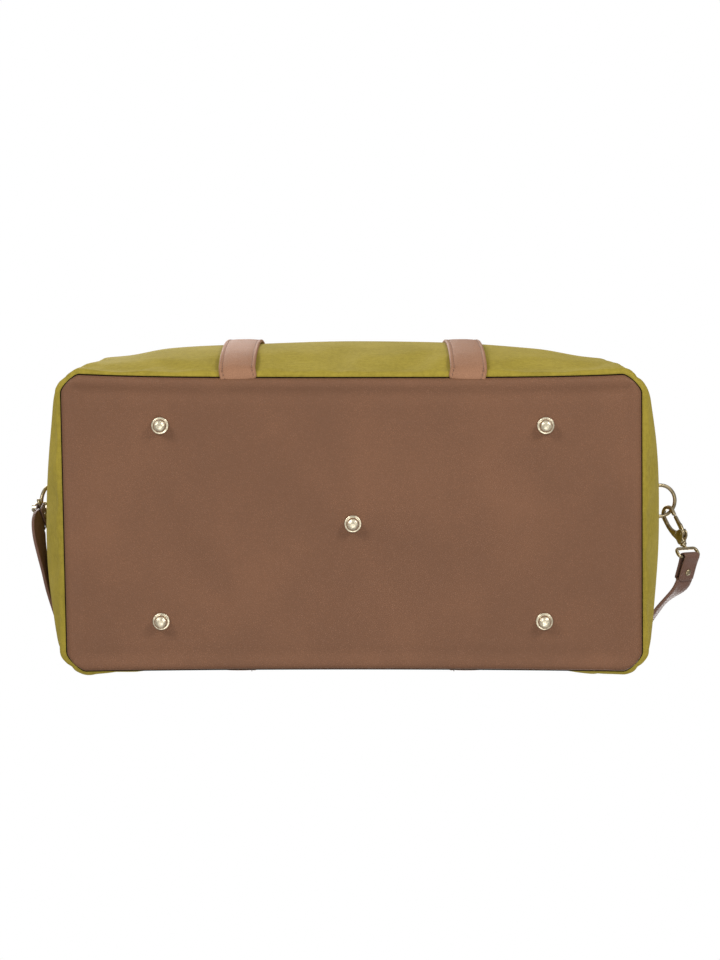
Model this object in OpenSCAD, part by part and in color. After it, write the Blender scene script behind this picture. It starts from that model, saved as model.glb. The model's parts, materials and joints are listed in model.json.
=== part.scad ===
// Boxy duffel bag standing on its five feet: leather base, canvas walls, two handles,
// a top zip between two flaps, and a shoulder strap clipped to a ring at each end.
// Millimetres. +Z up, X along the bag, -Y is the front. The origin is on the ground,
// under the centre foot.

/* [Base] */
// Length of the leather base
base_l = 500; // [420:5:600]
// Width of the leather base
base_w = 255; // [210:5:306]
// Chamfer across each corner of the base
base_chamfer = 13; // [8:1:20]
// Thickness of the leather base panel
base_t = 3; // [2:0.5:4]
// Thickness of the stiffening board above it
board_t = 3.5; // [2:0.5:5]
// Height of the welt in the seam between base and walls
welt_h = 2; // [1:0.5:3]

/* [Walls] */
// Height of the canvas walls, from the base seam to the top edge
wall_h = 275; // [230:5:330]
// Thickness of the padded canvas
wall_t = 4; // [3:0.5:6]
// How far the end walls bulge
end_bulge = 27; // [10:1:35]
// How far the front wall bulges
front_bulge = 25; // [10:1:30]
// How far the back wall bulges
back_bulge = 8; // [4:1:20]
// Thickness of the lining
lining_t = 1; // [0.6:0.2:1.6]

/* [Feet] */
// Height of a foot below the leather
foot_h = 9; // [7:0.5:12]
// Diameter of a foot's flange
foot_d = 15; // [12:0.5:20]
// Spacing of the corner feet along the bag
foot_span_x = 332; // [280:2:360]
// Spacing of the corner feet across the bag
foot_span_y = 170; // [140:2:180]

/* [Top] */
// Thickness of the top flaps
flap_t = 3; // [2:0.5:4]
// Length of the fixed band at each end of the top
band_l = 35; // [30:1:50]
// Width of the zip with its tapes
zip_w = 28; // [24:1:36]
// Width of one row of teeth
chain_w = 2.6; // [2:0.2:3.4]
// Length of the zip slider
slider_l = 13; // [11:1:16]
// Length of the zip pull
pull_l = 22; // [16:1:24]

/* [Handles] */
// Width of the leather straps on the walls
strap_w = 32; // [26:1:40]
// Thickness of those straps
strap_t = 3.2; // [2:0.2:4]
// Distance between the two straps of one handle
strap_span = 200; // [160:5:240]
// Height of the handle's grip above its pivots
handle_h = 150; // [120:5:170]
// Diameter of the rolled handle
roll_d = 12; // [9:0.5:13]
// Diameter of the grip sleeve
grip_d = 16; // [14:0.5:18]
// Length of the grip sleeve
grip_l = 96; // [70:2:100]

/* [Shoulder strap] */
// Width of the shoulder strap
sling_w = 20; // [16:1:20]
// Thickness of the shoulder strap
sling_t = 3; // [2:0.2:3.4]
// Wire diameter of the rings
ring_wire = 3.6; // [3:0.1:4]
// Inside width of the rings
ring_inside = 26.2; // [24:0.2:30]
// Length of the rings' straight legs
ring_leg = 7; // [4:0.5:9]
// Height of the ring bars above the ground
ring_z = 222; // [200:1:250]
// How far the ring bars stand out from the end of the base
ring_out = 36; // [30:1:40]

/* [Hidden] */
$fn = 64;

// clearances
touch = 0.05; // pieces sewn face to face
free = 0.4; // pieces that move past each other
run = 0.3; // a bar that turns in leather
pin_run = 0.05; // a metal pin in its hole
hinge_lift = 0.2; // the flap's hinge line above the wall's edge

// heights
base_z = foot_h;
board_z = base_z + base_t;
wall_z = base_z + base_t + welt_h;
top_z = wall_z + wall_h;
floor_z = board_z + board_t;

canvas = "darkkhaki";
leather = "sienna";
dark_leather = "saddlebrown";
brass = "goldenrod";
old_brass = "darkgoldenrod";

// ---- the bulging body ----

// Radius of an arc over a chord with a given rise
function arc_r(chord, rise) = (chord * chord / 4 + rise * rise) / (2 * rise);

// How far each bulging side reaches behind its arc, past the whole bag
behind = base_l + base_w + wall_h;

// One bulging side in 2D: everything behind an arc over the chord from (-c/2, 0) to (c/2, 0),
// which rises towards -Y, moved out by grow
module bulge_2d(chord, rise, grow) {
    r = arc_r(chord, rise);
    translate([0, r - rise]) {
        circle(r = r + grow, $fn = 360);
        translate([-r - grow, 0]) square([2 * (r + grow), behind]);
    }
}

// The walls' upright arcs rise this much further, so that the crown of a wall is one smooth patch
crown = 1;

// The bag's outer form, moved out by grow, from z = low to z = high
module body_form(grow, low, high) {
    intersection() {
        translate([0, 0, low]) linear_extrude(high - low) plan_2d(grow);
        side_view(grow);
        end_view(grow);
    }
}

// Outline from above
module plan_2d(grow) {
    intersection() {
        translate([0, -base_w / 2]) bulge_2d(base_l, front_bulge, grow);
        translate([0, base_w / 2]) rotate(180) bulge_2d(base_l, back_bulge, grow);
        translate([base_l / 2, 0]) rotate(90) bulge_2d(base_w, end_bulge, grow);
        translate([-base_l / 2, 0]) rotate(-90) bulge_2d(base_w, end_bulge, grow);
        corner_cut_2d(grow);
    }
}

// A rectangle with chamfered corners, wide enough for the bulges
module corner_cut_2d(grow) {
    out = 60;
    x = base_l / 2;
    y = base_w / 2;
    c = base_chamfer - grow * sqrt(2);
    polygon([[-x - out, -y + c + out], [-x + c + out, -y - out], [x - c - out, -y - out],
        [x + out, -y + c + out], [x + out, y - c - out], [x - c - out, y + out],
        [-x + c + out, y + out], [-x - out, y - c - out]]);
}

// Outline from the end, along X: front and back bulges over the walls' height
module end_view(grow) {
    mid = wall_z + wall_h / 2;
    reach = base_l + 200;
    translate([-reach / 2, 0, mid]) rotate([90, 0, 90]) linear_extrude(reach) intersection() {
        translate([-base_w / 2, 0]) rotate(-90) bulge_2d(wall_h, front_bulge + crown, grow);
        translate([base_w / 2, 0]) rotate(90) bulge_2d(wall_h, back_bulge + crown, grow);
    }
}

// Outline from the front, along Y: end bulges over the walls' height
module side_view(grow) {
    mid = wall_z + wall_h / 2;
    reach = base_w + 200;
    translate([0, reach / 2, mid]) rotate([90, 0, 0]) linear_extrude(reach) intersection() {
        translate([base_l / 2, 0]) rotate(90) bulge_2d(wall_h, end_bulge + crown, grow);
        translate([-base_l / 2, 0]) rotate(-90) bulge_2d(wall_h, end_bulge + crown, grow);
    }
}

// A skin of the body between two offsets
module body_skin(inner, outer, low, high) {
    difference() {
        body_form(outer, low, high);
        body_form(inner, low - 1, high + 1);
    }
}

// A wedge that holds one wall out to the corner seams; turn 0 is the front
module front_wedge() {
    far = 150;
    x = base_l / 2 - base_chamfer / 2;
    y = base_w / 2 - base_chamfer / 2;
    translate([0, 0, -1]) linear_extrude(top_z + 2)
        polygon([[-x + y, 0], [x - y, 0], [x + far, -y - far], [-x - far, -y - far]]);
}

module end_wedge() {
    far = 150;
    x = base_l / 2 - base_chamfer / 2;
    y = base_w / 2 - base_chamfer / 2;
    translate([0, 0, -1]) linear_extrude(top_z + 2)
        polygon([[x - y, 0], [x + far, -y - far], [x + far, y + far]]);
}

module wall_skin() {
    body_skin(-wall_t, 0, wall_z, top_z);
}

// ---- base ----

// Rectangle with chamfered corners
module base_2d(inset) {
    x = base_l / 2 - inset;
    y = base_w / 2 - inset;
    c = base_chamfer - inset * (2 - sqrt(2));
    polygon([[-x, -y + c], [-x + c, -y], [x - c, -y], [x, -y + c],
        [x, y - c], [x - c, y], [-x + c, y], [-x, y - c]]);
}

// Places a child at each of the five feet
module at_feet() {
    translate([0, 0, 0]) children();
    for (x = [-1, 1], y = [-1, 1])
        translate([x * foot_span_x / 2, y * foot_span_y / 2, 0]) children();
}

foot_stem = 1.5;
board_inset = wall_t + 3;

module base_panel() color(leather) difference() {
    translate([0, 0, base_z]) linear_extrude(base_t) base_2d(0);
    at_feet() translate([0, 0, base_z - 1]) cylinder(h = base_t + 2, r = foot_stem + pin_run);
}

module base_board() color("tan") difference() {
    translate([0, 0, board_z]) linear_extrude(board_t) base_2d(board_inset);
    at_feet() translate([0, 0, board_z - 1]) cylinder(h = board_t + 2, r = foot_stem + pin_run);
}

module base_welt() color(dark_leather) translate([0, 0, board_z]) linear_extrude(welt_h) difference() {
    base_2d(1.5);
    base_2d(wall_t + 1.5);
}

// A domed stud: flange, groove, dome and the stem that goes through the base
module foot() {
    r = foot_d / 2;
    flange = 1.6;
    groove = 1;
    groove_depth = 0.9;
    rim_w = 1.7;
    dome_r = r - rim_w;
    flat_r = 2;
    dome = [[0.72 * dome_r, 1], [0.92 * dome_r, 2.4], [dome_r, 4.2]];
    stem_in = 0.5;
    stem_past = 1;
    rotate_extrude() union() {
        polygon(concat([[0, 0], [flat_r, 0]], dome, [[dome_r, base_z - flange - groove],
            [dome_r - groove_depth, base_z - flange], [0, base_z - flange]]));
        translate([0, base_z - flange]) square([r - flange / 2, flange]);
        translate([r - flange / 2, base_z - flange / 2]) circle(d = flange);
    }
    translate([0, 0, base_z - stem_in]) cylinder(h = floor_z - base_z + stem_in + stem_past, r = foot_stem);
}

module feet() color(brass) at_feet() foot();

module foot_washers() color(brass) at_feet() translate([0, 0, floor_z]) difference() {
    cylinder(h = 0.8, r = foot_d / 2);
    translate([0, 0, -1]) cylinder(h = 3, r = foot_stem + pin_run);
}

// ---- walls and lining ----

module front_panel() color(canvas) intersection() {
    wall_skin();
    front_wedge();
}

module back_panel() color(canvas) intersection() {
    wall_skin();
    rotate(180) front_wedge();
}

module right_end_panel() color(canvas) intersection() {
    wall_skin();
    end_wedge();
}

module left_end_panel() color(canvas) intersection() {
    wall_skin();
    rotate(180) end_wedge();
}

lining_z = floor_z + 1.2;

module lining() color("wheat") difference() {
    body_form(-wall_t - touch, lining_z, top_z - 2);
    body_form(-wall_t - touch - lining_t, lining_z + lining_t, top_z);
}

// ---- top: bands, flaps and zip ----

flap_z = top_z + hinge_lift + 0.2;
flap_end = base_l / 2 - band_l;
band_start = flap_end + free;
zip_edge = zip_w / 2;
chain_gap = 0.6;
chain_edge = chain_gap + chain_w;
tape_t = 0.8;
tape_z = flap_z + 0.8;
chain_h = 2.6;
chain_z = flap_z;
zip_stop = base_l / 2 - 12;

// The fixed band across one end of the top, with a slot for the zip
module top_band(side) {
    mirror([side < 0 ? 1 : 0, 0, 0]) difference() {
        translate([0, 0, top_z]) linear_extrude(flap_z + flap_t - top_z) intersection() {
            base_2d(0);
            translate([band_start, -base_w]) square([base_l, 2 * base_w]);
        }
        translate([band_start - 1, -zip_edge, top_z - 1]) cube([zip_stop - band_start + 1, zip_w, 20]);
    }
}

module left_top_band() color(canvas) top_band(-1);
module right_top_band() color(canvas) top_band(1);

// The zip's fixed run inside a band: tapes, two rows of teeth and the stop
module zip_end(side) {
    mirror([side < 0 ? 1 : 0, 0, 0]) for (s = [-1, 1]) mirror([0, s < 0 ? 1 : 0, 0]) {
        translate([band_start, chain_edge, tape_z])
            cube([zip_stop - touch - band_start, zip_edge - chain_edge - touch, tape_t]);
        translate([band_start, chain_gap, chain_z])
            cube([zip_stop - touch - band_start, chain_w, chain_h]);
    }
    mirror([side < 0 ? 1 : 0, 0, 0])
        translate([zip_stop - 3 - touch, -chain_edge, chain_z]) cube([3, 2 * chain_edge, chain_h + 0.6]);
}

module left_zip_end() color(old_brass) zip_end(-1);
module right_zip_end() color(old_brass) zip_end(1);

// One flap of the top; side -1 is the front one
module flap(side) {
    y = base_w / 2 - touch;
    mirror([0, side > 0 ? 1 : 0, 0])
        translate([-flap_end, -y, flap_z]) cube([2 * flap_end, y - zip_edge, flap_t]);
}

module zip_tape(side) {
    mirror([0, side > 0 ? 1 : 0, 0]) translate([-flap_end, -zip_edge + touch, tape_z])
        cube([2 * flap_end, zip_edge - chain_edge - touch, tape_t]);
}

module zip_teeth(side) {
    mirror([0, side > 0 ? 1 : 0, 0])
        translate([-flap_end, -chain_edge, chain_z]) cube([2 * flap_end, chain_w, chain_h]);
}

module front_flap() color(canvas) flap(-1);
module front_zip_tape() color("olive") zip_tape(-1);
module front_zip_teeth() color(old_brass) zip_teeth(-1);
module back_flap() color(canvas) flap(1);
module back_zip_tape() color("olive") zip_tape(1);
module back_zip_teeth() color(old_brass) zip_teeth(1);

// The slider waits in the right-hand band and runs to the left-hand one
slider_w = 10;
plate_t = 1.6;
slider_x = band_start + 1 + slider_l / 2;
slider_low = chain_z - free - plate_t;
slider_top = chain_z + chain_h + free;
bridge_r = 2.6;
bridge_wire = 1.4;
bridge_z = slider_top + plate_t;
pull_x = slider_x + 1;
pull_t = 1.2;
pull_z = bridge_z + 1.1;

module zip_slider() color(old_brass) {
    for (z = [slider_low, slider_top])
        translate([slider_x - slider_l / 2, -slider_w / 2, z]) cube([slider_l, slider_w, plate_t]);
    translate([slider_x - slider_l / 2 + 1, -0.3, slider_low]) cube([4, 0.6, slider_top - slider_low + 1]);
    translate([pull_x, 0, bridge_z - 0.2]) rotate([90, 0, 0]) intersection() {
        rotate_extrude() translate([bridge_r + bridge_wire / 2, 0]) circle(d = bridge_wire);
        translate([-10, 0, -5]) cube([20, 10, 10]);
    }
}

// A flat tongue with an eye that goes under the slider's bridge
module zip_pull() color(old_brass) {
    eye = 1.2;
    wide = 9;
    difference() {
        translate([pull_x - pull_t / 2, -wide / 2, pull_z - pull_t / 2]) cube([pull_l, wide, pull_t]);
        translate([pull_x + pull_t / 2, -eye, pull_z - 2]) cube([4.6, 2 * eye, 4]);
    }
}

// ---- handle straps and handles ----

strap_low = wall_z + 1;
strap_high = top_z - 0.5;
pivot_z = top_z + 2;
pivot_y = base_w / 2 + strap_t + 3.3;

module wall_strap(side_x, side_y) {
    intersection() {
        body_skin(touch, touch + strap_t, strap_low, strap_high);
        translate([side_x * strap_span / 2 - strap_w / 2, side_y > 0 ? 0 : -base_w, 0])
            cube([strap_w, base_w, top_z + 10]);
    }
}

module front_left_strap() color(leather) wall_strap(-1, -1);
module front_right_strap() color(leather) wall_strap(1, -1);
module back_left_strap() color(leather) wall_strap(-1, 1);
module back_right_strap() color(leather) wall_strap(1, 1);

leg_t = 3.5;
leg_gap = 0.5;
neck_h = 40;
bend_r = 60;

// A handle standing up in the plane through its pivots: a flat tongue at each foot
// that narrows into a rolled arch
module handle() {
    half = strap_span / 2;
    for (s = [-1, 1]) mirror([s < 0 ? 1 : 0, 0, 0]) {
        translate([half, leg_t / 2, leg_gap]) rotate([90, 0, 0]) linear_extrude(leg_t)
            polygon([[-strap_w / 2, 0], [strap_w / 2, 0], [strap_w / 2, 12],
                [roll_d / 2, neck_h], [-roll_d / 2, neck_h], [-strap_w / 2, 12]]);
        translate([half, 0, neck_h - 10]) cylinder(h = handle_h - bend_r - neck_h + 10, d = roll_d);
        translate([half - bend_r, 0, handle_h - bend_r]) rotate([90, 0, 0]) intersection() {
            rotate_extrude() translate([bend_r, 0]) circle(d = roll_d);
            translate([0, 0, -10]) cube([100, 100, 20]);
        }
        translate([0, 0, handle_h]) rotate([0, 90, 0]) cylinder(h = half - bend_r, d = roll_d);
    }
}

module grip() {
    translate([0, 0, handle_h]) rotate([0, 90, 0]) difference() {
        cylinder(h = min(grip_l, strap_span - 2 * bend_r), d = grip_d, center = true);
        cylinder(h = 2 * grip_l, d = roll_d + 2 * touch, center = true);
    }
}

module front_handle() color(leather) translate([0, -pivot_y, pivot_z]) handle();
module front_grip() color(leather) translate([0, -pivot_y, pivot_z]) grip();
module back_handle() color(leather) translate([0, pivot_y, pivot_z]) handle();
module back_grip() color(leather) translate([0, pivot_y, pivot_z]) grip();

// ---- ring tabs and rings ----

tab_w = 24;
tab_low = ring_z - 42;
tab_high = ring_z + 14;
tab_t = 3;
bar_x = base_l / 2 + ring_out;
bar_r = ring_wire / 2;
ring_mid_r = ring_inside / 2 + bar_r;

// A leather tab sewn to the right-hand wall and folded round the ring's bar
module ring_tab() {
    fold_r = bar_r + run + tab_t;
    difference() {
        union() {
            intersection() {
                body_skin(touch, touch + tab_t, tab_low, tab_high);
                translate([0, -tab_w / 2, 0]) cube([base_l, tab_w, top_z]);
            }
            difference() {
                translate([base_l / 2, -tab_w / 2, ring_z - tab_t]) cube([ring_out, tab_w, 2 * tab_t]);
                body_form(touch, wall_z, top_z);
            }
            translate([bar_x, -tab_w / 2, ring_z]) rotate([-90, 0, 0]) cylinder(h = tab_w, r = fold_r);
        }
        translate([bar_x, -tab_w, ring_z]) rotate([-90, 0, 0]) cylinder(h = 2 * tab_w, r = bar_r + run);
    }
}

module right_ring_tab() color(leather) ring_tab();
module left_ring_tab() color(leather) mirror([1, 0, 0]) ring_tab();

// A D-shaped ring in its own plane: bar along Y through the origin, arc towards +X
module d_ring() {
    rotate([90, 0, 0]) cylinder(h = 2 * ring_mid_r, r = bar_r, center = true);
    for (s = [-1, 1]) translate([0, s * ring_mid_r, 0]) {
        sphere(r = bar_r);
        rotate([0, 90, 0]) cylinder(h = ring_leg, r = bar_r);
    }
    translate([ring_leg, 0, 0]) intersection() {
        rotate_extrude() translate([ring_mid_r, 0]) circle(r = bar_r);
        translate([0, -50, -10]) cube([50, 100, 20]);
    }
}

// How far each ring is turned up from level
right_ring_rise = 12;
left_ring_rise = -65;

module right_ring() color(old_brass) translate([bar_x, 0, ring_z]) rotate([0, -right_ring_rise, 0]) d_ring();
module left_ring() color(old_brass) mirror([1, 0, 0])
    translate([bar_x, 0, ring_z]) rotate([0, -left_ring_rise, 0]) d_ring();

// ---- snap hooks ----

// Where the hook holds the ring's wire, at a distance y across the bag
function ring_point(side, rise, y) = let (s = ring_leg + sqrt(ring_mid_r * ring_mid_r - y * y))
    [side * (bar_x + s * cos(rise)), y, ring_z + s * sin(rise)];

right_hold_y = 12.5;
left_hold_y = 2;
function unit(v) = v / norm(v);

// The part of v that is square to a direction, at length 1
function square_to(v, dir) = unit(v - (v * dir) * dir);

// Direction of each hook from claw to strap, and the direction its flat side faces
right_run = unit([0.36, 0.78, -0.51]);
left_run = unit([0.16, 0.08, -0.98]);
right_face = square_to([-0.85, 0.02, -0.53], right_run);
left_face = square_to([0.1, 0.99, 0.1], left_run);

// Each hook's origin, with the ring's wire settled in the top of the claw
settle = 1;
right_hold = ring_point(1, right_ring_rise, right_hold_y) - settle * right_run;
left_hold = ring_point(-1, left_ring_rise, left_hold_y) - settle * left_run;

// Puts a child drawn along +X, flat side +Z, on a hook's own axes
module on_axes(origin, run_dir, face_dir) {
    side_dir = cross(face_dir, run_dir);
    multmatrix([[run_dir[0], side_dir[0], face_dir[0], origin[0]],
        [run_dir[1], side_dir[1], face_dir[1], origin[1]],
        [run_dir[2], side_dir[2], face_dir[2], origin[2]], [0, 0, 0, 1]]) children();
}

claw_in = 5.5;
claw_out = 9;
claw_x = 2.2;
claw_t = 3.6;
boss_t = 7;
boss_x = 23;
boss_end = 35;
gate_start = 8;
gate_pivot = [27, 5.8];
gate_t = 3;
stem_r = 2;
loop_wire = 3.2;
loop_x = 41;
loop_bar_x = 50;
loop_mid_w = sling_w + 3 + loop_wire;

// The shank's outer edge and the inner edge of its opening, and the boss's sloping shoulder
shank_out = [[11, -claw_out], [22, -7], [33, -3.4], [33, 5], [28, claw_out]];
shank_in = [[10, -claw_in], [18, -2.6], [boss_x, 2]];
boss_r = 3.4;
shoulder = [[32, 7], [29.5, claw_out]];
knuckle_r = 3;
gate_pin_r = 1;
stem_in = 4.4;

module hook() {
    past = 3;
    room = 0.3;
    reach = 5;
    difference() {
        union() {
            translate([0, 0, -claw_t / 2]) linear_extrude(claw_t) difference() {
                union() {
                    intersection() {
                        translate([claw_x, 0]) circle(r = claw_out);
                        translate([claw_x - 2 * claw_out, -claw_out]) square(2 * claw_out);
                    }
                    polygon(concat([[claw_x, -claw_out]], shank_out, [[claw_x, claw_out]]));
                }
                translate([claw_x, 0]) circle(r = claw_in);
                polygon(concat([[claw_x, -claw_in]], shank_in, [[boss_x, claw_out + past],
                    [gate_start, claw_out + past], [gate_start, claw_in], [claw_x, claw_in]]));
            }
            translate([0, 0, -boss_t / 2]) linear_extrude(boss_t)
                polygon(concat([[boss_x, 0], [boss_x + 2, -boss_r], [boss_end, -boss_r], [boss_end, boss_r]],
                    shoulder, [[boss_x, claw_out]]));
        }
        translate([gate_pivot[0], gate_pivot[1], -gate_slot / 2])
            cylinder(h = gate_slot, r = knuckle_r + room);
        translate([boss_x - reach, 0, -gate_slot / 2])
            cube([gate_pivot[0] - boss_x + reach, claw_out + past, gate_slot]);
        translate([boss_end - stem_in - gate_side, 0, 0]) rotate([0, 90, 0])
            cylinder(h = stem_in + past, r = stem_r + stem_run);
    }
    translate([gate_pivot[0], gate_pivot[1], -boss_t / 2]) cylinder(h = boss_t, r = gate_pin_r);
}

module gate() {
    tip_gap = 0.3;
    edge_gap = 0.1;
    difference() {
        translate([0, 0, -gate_t / 2]) linear_extrude(gate_t) union() {
            translate(gate_pivot) circle(r = knuckle_r);
            translate([gate_start + tip_gap, claw_in + edge_gap])
                square([gate_pivot[0] - gate_start - tip_gap, claw_out - claw_in - 2 * edge_gap]);
        }
        translate([gate_pivot[0], gate_pivot[1], -gate_t]) cylinder(h = 2 * gate_t, r = gate_pin_r + pin_run);
    }
}

gate_side = 0.2;
gate_slot = gate_t + 2 * gate_side;
stem_run = 0.1;

// Stem and loop that turn in the hook's tail; turn is the loop's angle about the stem
module swivel(turn) {
    corner = 3;
    half = loop_mid_w / 2;
    collar_gap = 0.3;
    collar_t = 2;
    collar_r = 3.2;
    translate([boss_end - stem_in, 0, 0]) rotate([0, 90, 0])
        cylinder(h = loop_x - boss_end + stem_in, r = stem_r);
    translate([boss_end + collar_gap, 0, 0]) rotate([0, 90, 0]) cylinder(h = collar_t, r = collar_r);
    rotate([turn, 0, 0]) {
        for (x = [loop_x, loop_bar_x]) translate([x, 0, 0]) rotate([90, 0, 0])
            cylinder(h = 2 * (half - corner), d = loop_wire, center = true);
        for (s = [-1, 1]) mirror([0, s < 0 ? 1 : 0, 0]) {
            translate([loop_x + corner, half, 0]) rotate([0, 90, 0])
                cylinder(h = loop_bar_x - loop_x - 2 * corner, d = loop_wire);
            translate([loop_bar_x - corner, half - corner, 0]) quarter(corner);
            translate([loop_x + corner, half - corner, 0]) mirror([1, 0, 0]) quarter(corner);
        }
    }
}

module quarter(corner) intersection() {
    span = corner + 2 * loop_wire;
    rotate_extrude() translate([corner, 0]) circle(d = loop_wire);
    translate([0, 0, -span / 2]) cube(span);
}

// Direction of each loop's bar across the strap, and of the strap where it leaves the bar
right_bar = square_to([0.8, 0.03, 0.6], right_run);
left_bar = square_to([0.3, 0.95, 0], left_run);
right_leave = square_to([-0.2, 0.94, 0.23], right_bar);
left_leave = square_to([0.06, 0.12, -0.99], left_bar);

// The loop's turn about the stem that lays its bar along a direction
function loop_turn(run_dir, face_dir, bar) =
    let (side_dir = cross(face_dir, run_dir)) atan2(bar * face_dir, bar * side_dir);

module right_hook() color(old_brass) on_axes(right_hold, right_run, right_face) hook();
module left_hook() color(old_brass) on_axes(left_hold, left_run, left_face) hook();
module right_gate() color(brass) on_axes(right_hold, right_run, right_face) gate();
module left_gate() color(brass) on_axes(left_hold, left_run, left_face) gate();
module right_swivel() color(old_brass) on_axes(right_hold, right_run, right_face)
    swivel(loop_turn(right_run, right_face, right_bar));
module left_swivel() color(old_brass) on_axes(left_hold, left_run, left_face)
    swivel(loop_turn(left_run, left_face, left_bar));

// ---- shoulder strap ----

right_bar_mid = right_hold + loop_bar_x * right_run;
left_bar_mid = left_hold + loop_bar_x * left_run;
fold_l = 24;
fold_t = 2 * sling_t;
rivet_x = 15;
rivet_r = 1.5;

// The strap's folded end: round the loop's bar and back along itself
module strap_end() {
    bar_clear = loop_wire / 2 + run;
    wrap_t = 2.4;
    difference() {
        union() {
            rotate([90, 0, 0]) cylinder(h = sling_w, r = bar_clear + wrap_t, center = true);
            translate([0, -sling_w / 2, -fold_t / 2]) cube([fold_l, sling_w, fold_t]);
        }
        rotate([90, 0, 0]) cylinder(h = 2 * sling_w, r = bar_clear, center = true);
        translate([rivet_x, 0, -fold_t]) cylinder(h = 2 * fold_t, r = rivet_r + pin_run);
    }
}

module strap_rivet() {
    cap_t = 1.2;
    cap_r = 3.5;
    reach = 1;
    translate([rivet_x, 0, -fold_t / 2 - reach]) cylinder(h = fold_t + 2 * reach, r = rivet_r);
    for (s = [-1, 1]) translate([rivet_x, 0, s * (fold_t / 2 + cap_t / 2 + touch)])
        cylinder(h = cap_t, r = cap_r, center = true);
}

module right_strap_end() color(leather)
    on_axes(right_bar_mid, right_leave, cross(right_leave, right_bar)) strap_end();
module left_strap_end() color(leather)
    on_axes(left_bar_mid, left_leave, cross(left_leave, left_bar)) strap_end();

module strap_rivets() color(brass) {
    on_axes(right_bar_mid, right_leave, cross(right_leave, right_bar)) strap_rivet();
    on_axes(left_bar_mid, left_leave, cross(left_leave, left_bar)) strap_rivet();
}

// The strap's way round the back: [place, direction of its width]
sling_route = [
    [[306, 83, 203], [0.6, 0, 0.8]],
    [[296, 92, 199], [0.25, 0.2, 0.95]],
    [[286, 103, 194], [0.2, 0.3, 0.93]],
    [[277, 115, 189], [0.2, 0.2, 0.96]],
    [[266, 126, 184], [0.1, 0.1, 1]],
    [[251, 136, 179], [0, 0, 1]],
    [[230, 142, 173], [0, 0, 1]],
    [[200, 144, 165], [0, 0, 1]],
    [[165, 144, 157], [0, 0, 1]],
    [[130, 143, 150], [0, 0, 1]],
    [[90, 142, 143], [0, 0, 1]],
    [[50, 141, 138], [0, 0, 1]],
    [[10, 141, 134.5], [0, 0, 1]],
    [[-30, 141, 132], [0, 0, 1]],
    [[-70, 141, 130.5], [0, 0, 1]],
    [[-110, 142, 129.5], [0, 0, 1]],
    [[-150, 143, 128], [0, 0, 1]],
    [[-190, 144, 125.5], [0, 0, 1]],
    [[-220, 143, 121], [0, 0, 1]],
    [[-241, 136, 117], [0, 0, 1]],
    [[-257, 121, 114], [0, 0, 1]],
    [[-266, 104, 112], [0, 0, 1]],
    [[-272, 86, 111], [0, 0, 1]],
    [[-276, 68, 109], [0.1, 0, 1]],
    [[-279, 51, 107], [0.15, 0, 0.98]],
    [[-282, 36, 106], [0.25, 0.15, 0.95]],
    [[-284.5, 23, 108.5], [0.4, 0.42, 0.8]],
    [[-286, 14, 115], [0.45, 0.7, 0.55]],
    [[-286.5, 10, 122], [0.35, 0.9, 0.25]]];

// The bag's length and width and the rings' height that the route was laid round
route_l = 500;
route_w = 255;
route_ring_z = 222;

// A place on the route when the bag's half size goes from one value to another: along the wall it
// keeps its share of the wall, and past the wall's end it keeps its distance from it
function follow(v, from, to) = abs(v) < from ? v * to / from : v + sign(v) * (to - from);

function route_place(p) = [follow(p[0], route_l / 2, base_l / 2), follow(p[1], route_w / 2, base_w / 2),
    p[2] + ring_z - route_ring_z];

function fold_end(mid, leave) = mid + (fold_l + touch) * leave;

sling_points = concat([[fold_end(right_bar_mid, right_leave), right_bar]],
    [for (p = sling_route) [route_place(p[0]), p[1]]],
    [[fold_end(left_bar_mid, left_leave), left_bar]]);

// Half of the strap's rounded section, [across, through] in shares of the half sizes
sling_section = [[-1, -0.5], [-0.95, -1], [0.95, -1], [1, -0.5], [1, 0.5], [0.95, 1], [-0.95, 1], [-1, 0.5]];

function heading(points, i) =
    i == 0 ? right_leave :
    i == len(points) - 1 ? -left_leave :
    unit(points[i + 1][0] - points[i - 1][0]);

module ribbon(points, width, thick) {
    sides = len(sling_section);
    last = len(points) - 1;
    corners = [for (i = [0:last]) let (
        way = heading(points, i),
        across = square_to(points[i][1], way),
        through = cross(way, across))
        for (c = sling_section)
            points[i][0] + across * (c[0] * width / 2) + through * (c[1] * thick / 2)];
    faces = concat(
        [[for (k = [0:sides - 1]) k]],
        [for (i = [0:last - 1], k = [0:sides - 1], half = [0, 1]) let (
            a = i * sides + k,
            b = i * sides + (k + 1) % sides)
            half == 0 ? [a, a + sides, b + sides] : [a, b + sides, b]],
        [[for (k = [sides - 1:-1:0]) last * sides + k]]);
    polyhedron(corners, faces);
}

module shoulder_strap() color(leather) ribbon(sling_points, sling_w, sling_t);

// A frame or band round the strap, at one of its route points
module round_strap(index, length, wall) {
    way = heading(sling_points, index);
    across = square_to(sling_points[index][1], way);
    on_axes(sling_points[index][0], way, cross(way, across)) difference() {
        cube([length, sling_w + 2 * free + 2 * wall, sling_t + 2 * free + 2 * wall], center = true);
        cube([length + 2, sling_w + 2 * free, sling_t + 2 * free], center = true);
    }
}

buckle_at = 14;
keeper_at = 11;

module strap_buckle() color(old_brass) round_strap(buckle_at, 5, 1.8);
module strap_keeper() color(leather) round_strap(keeper_at, 8, 1.4);

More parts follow.
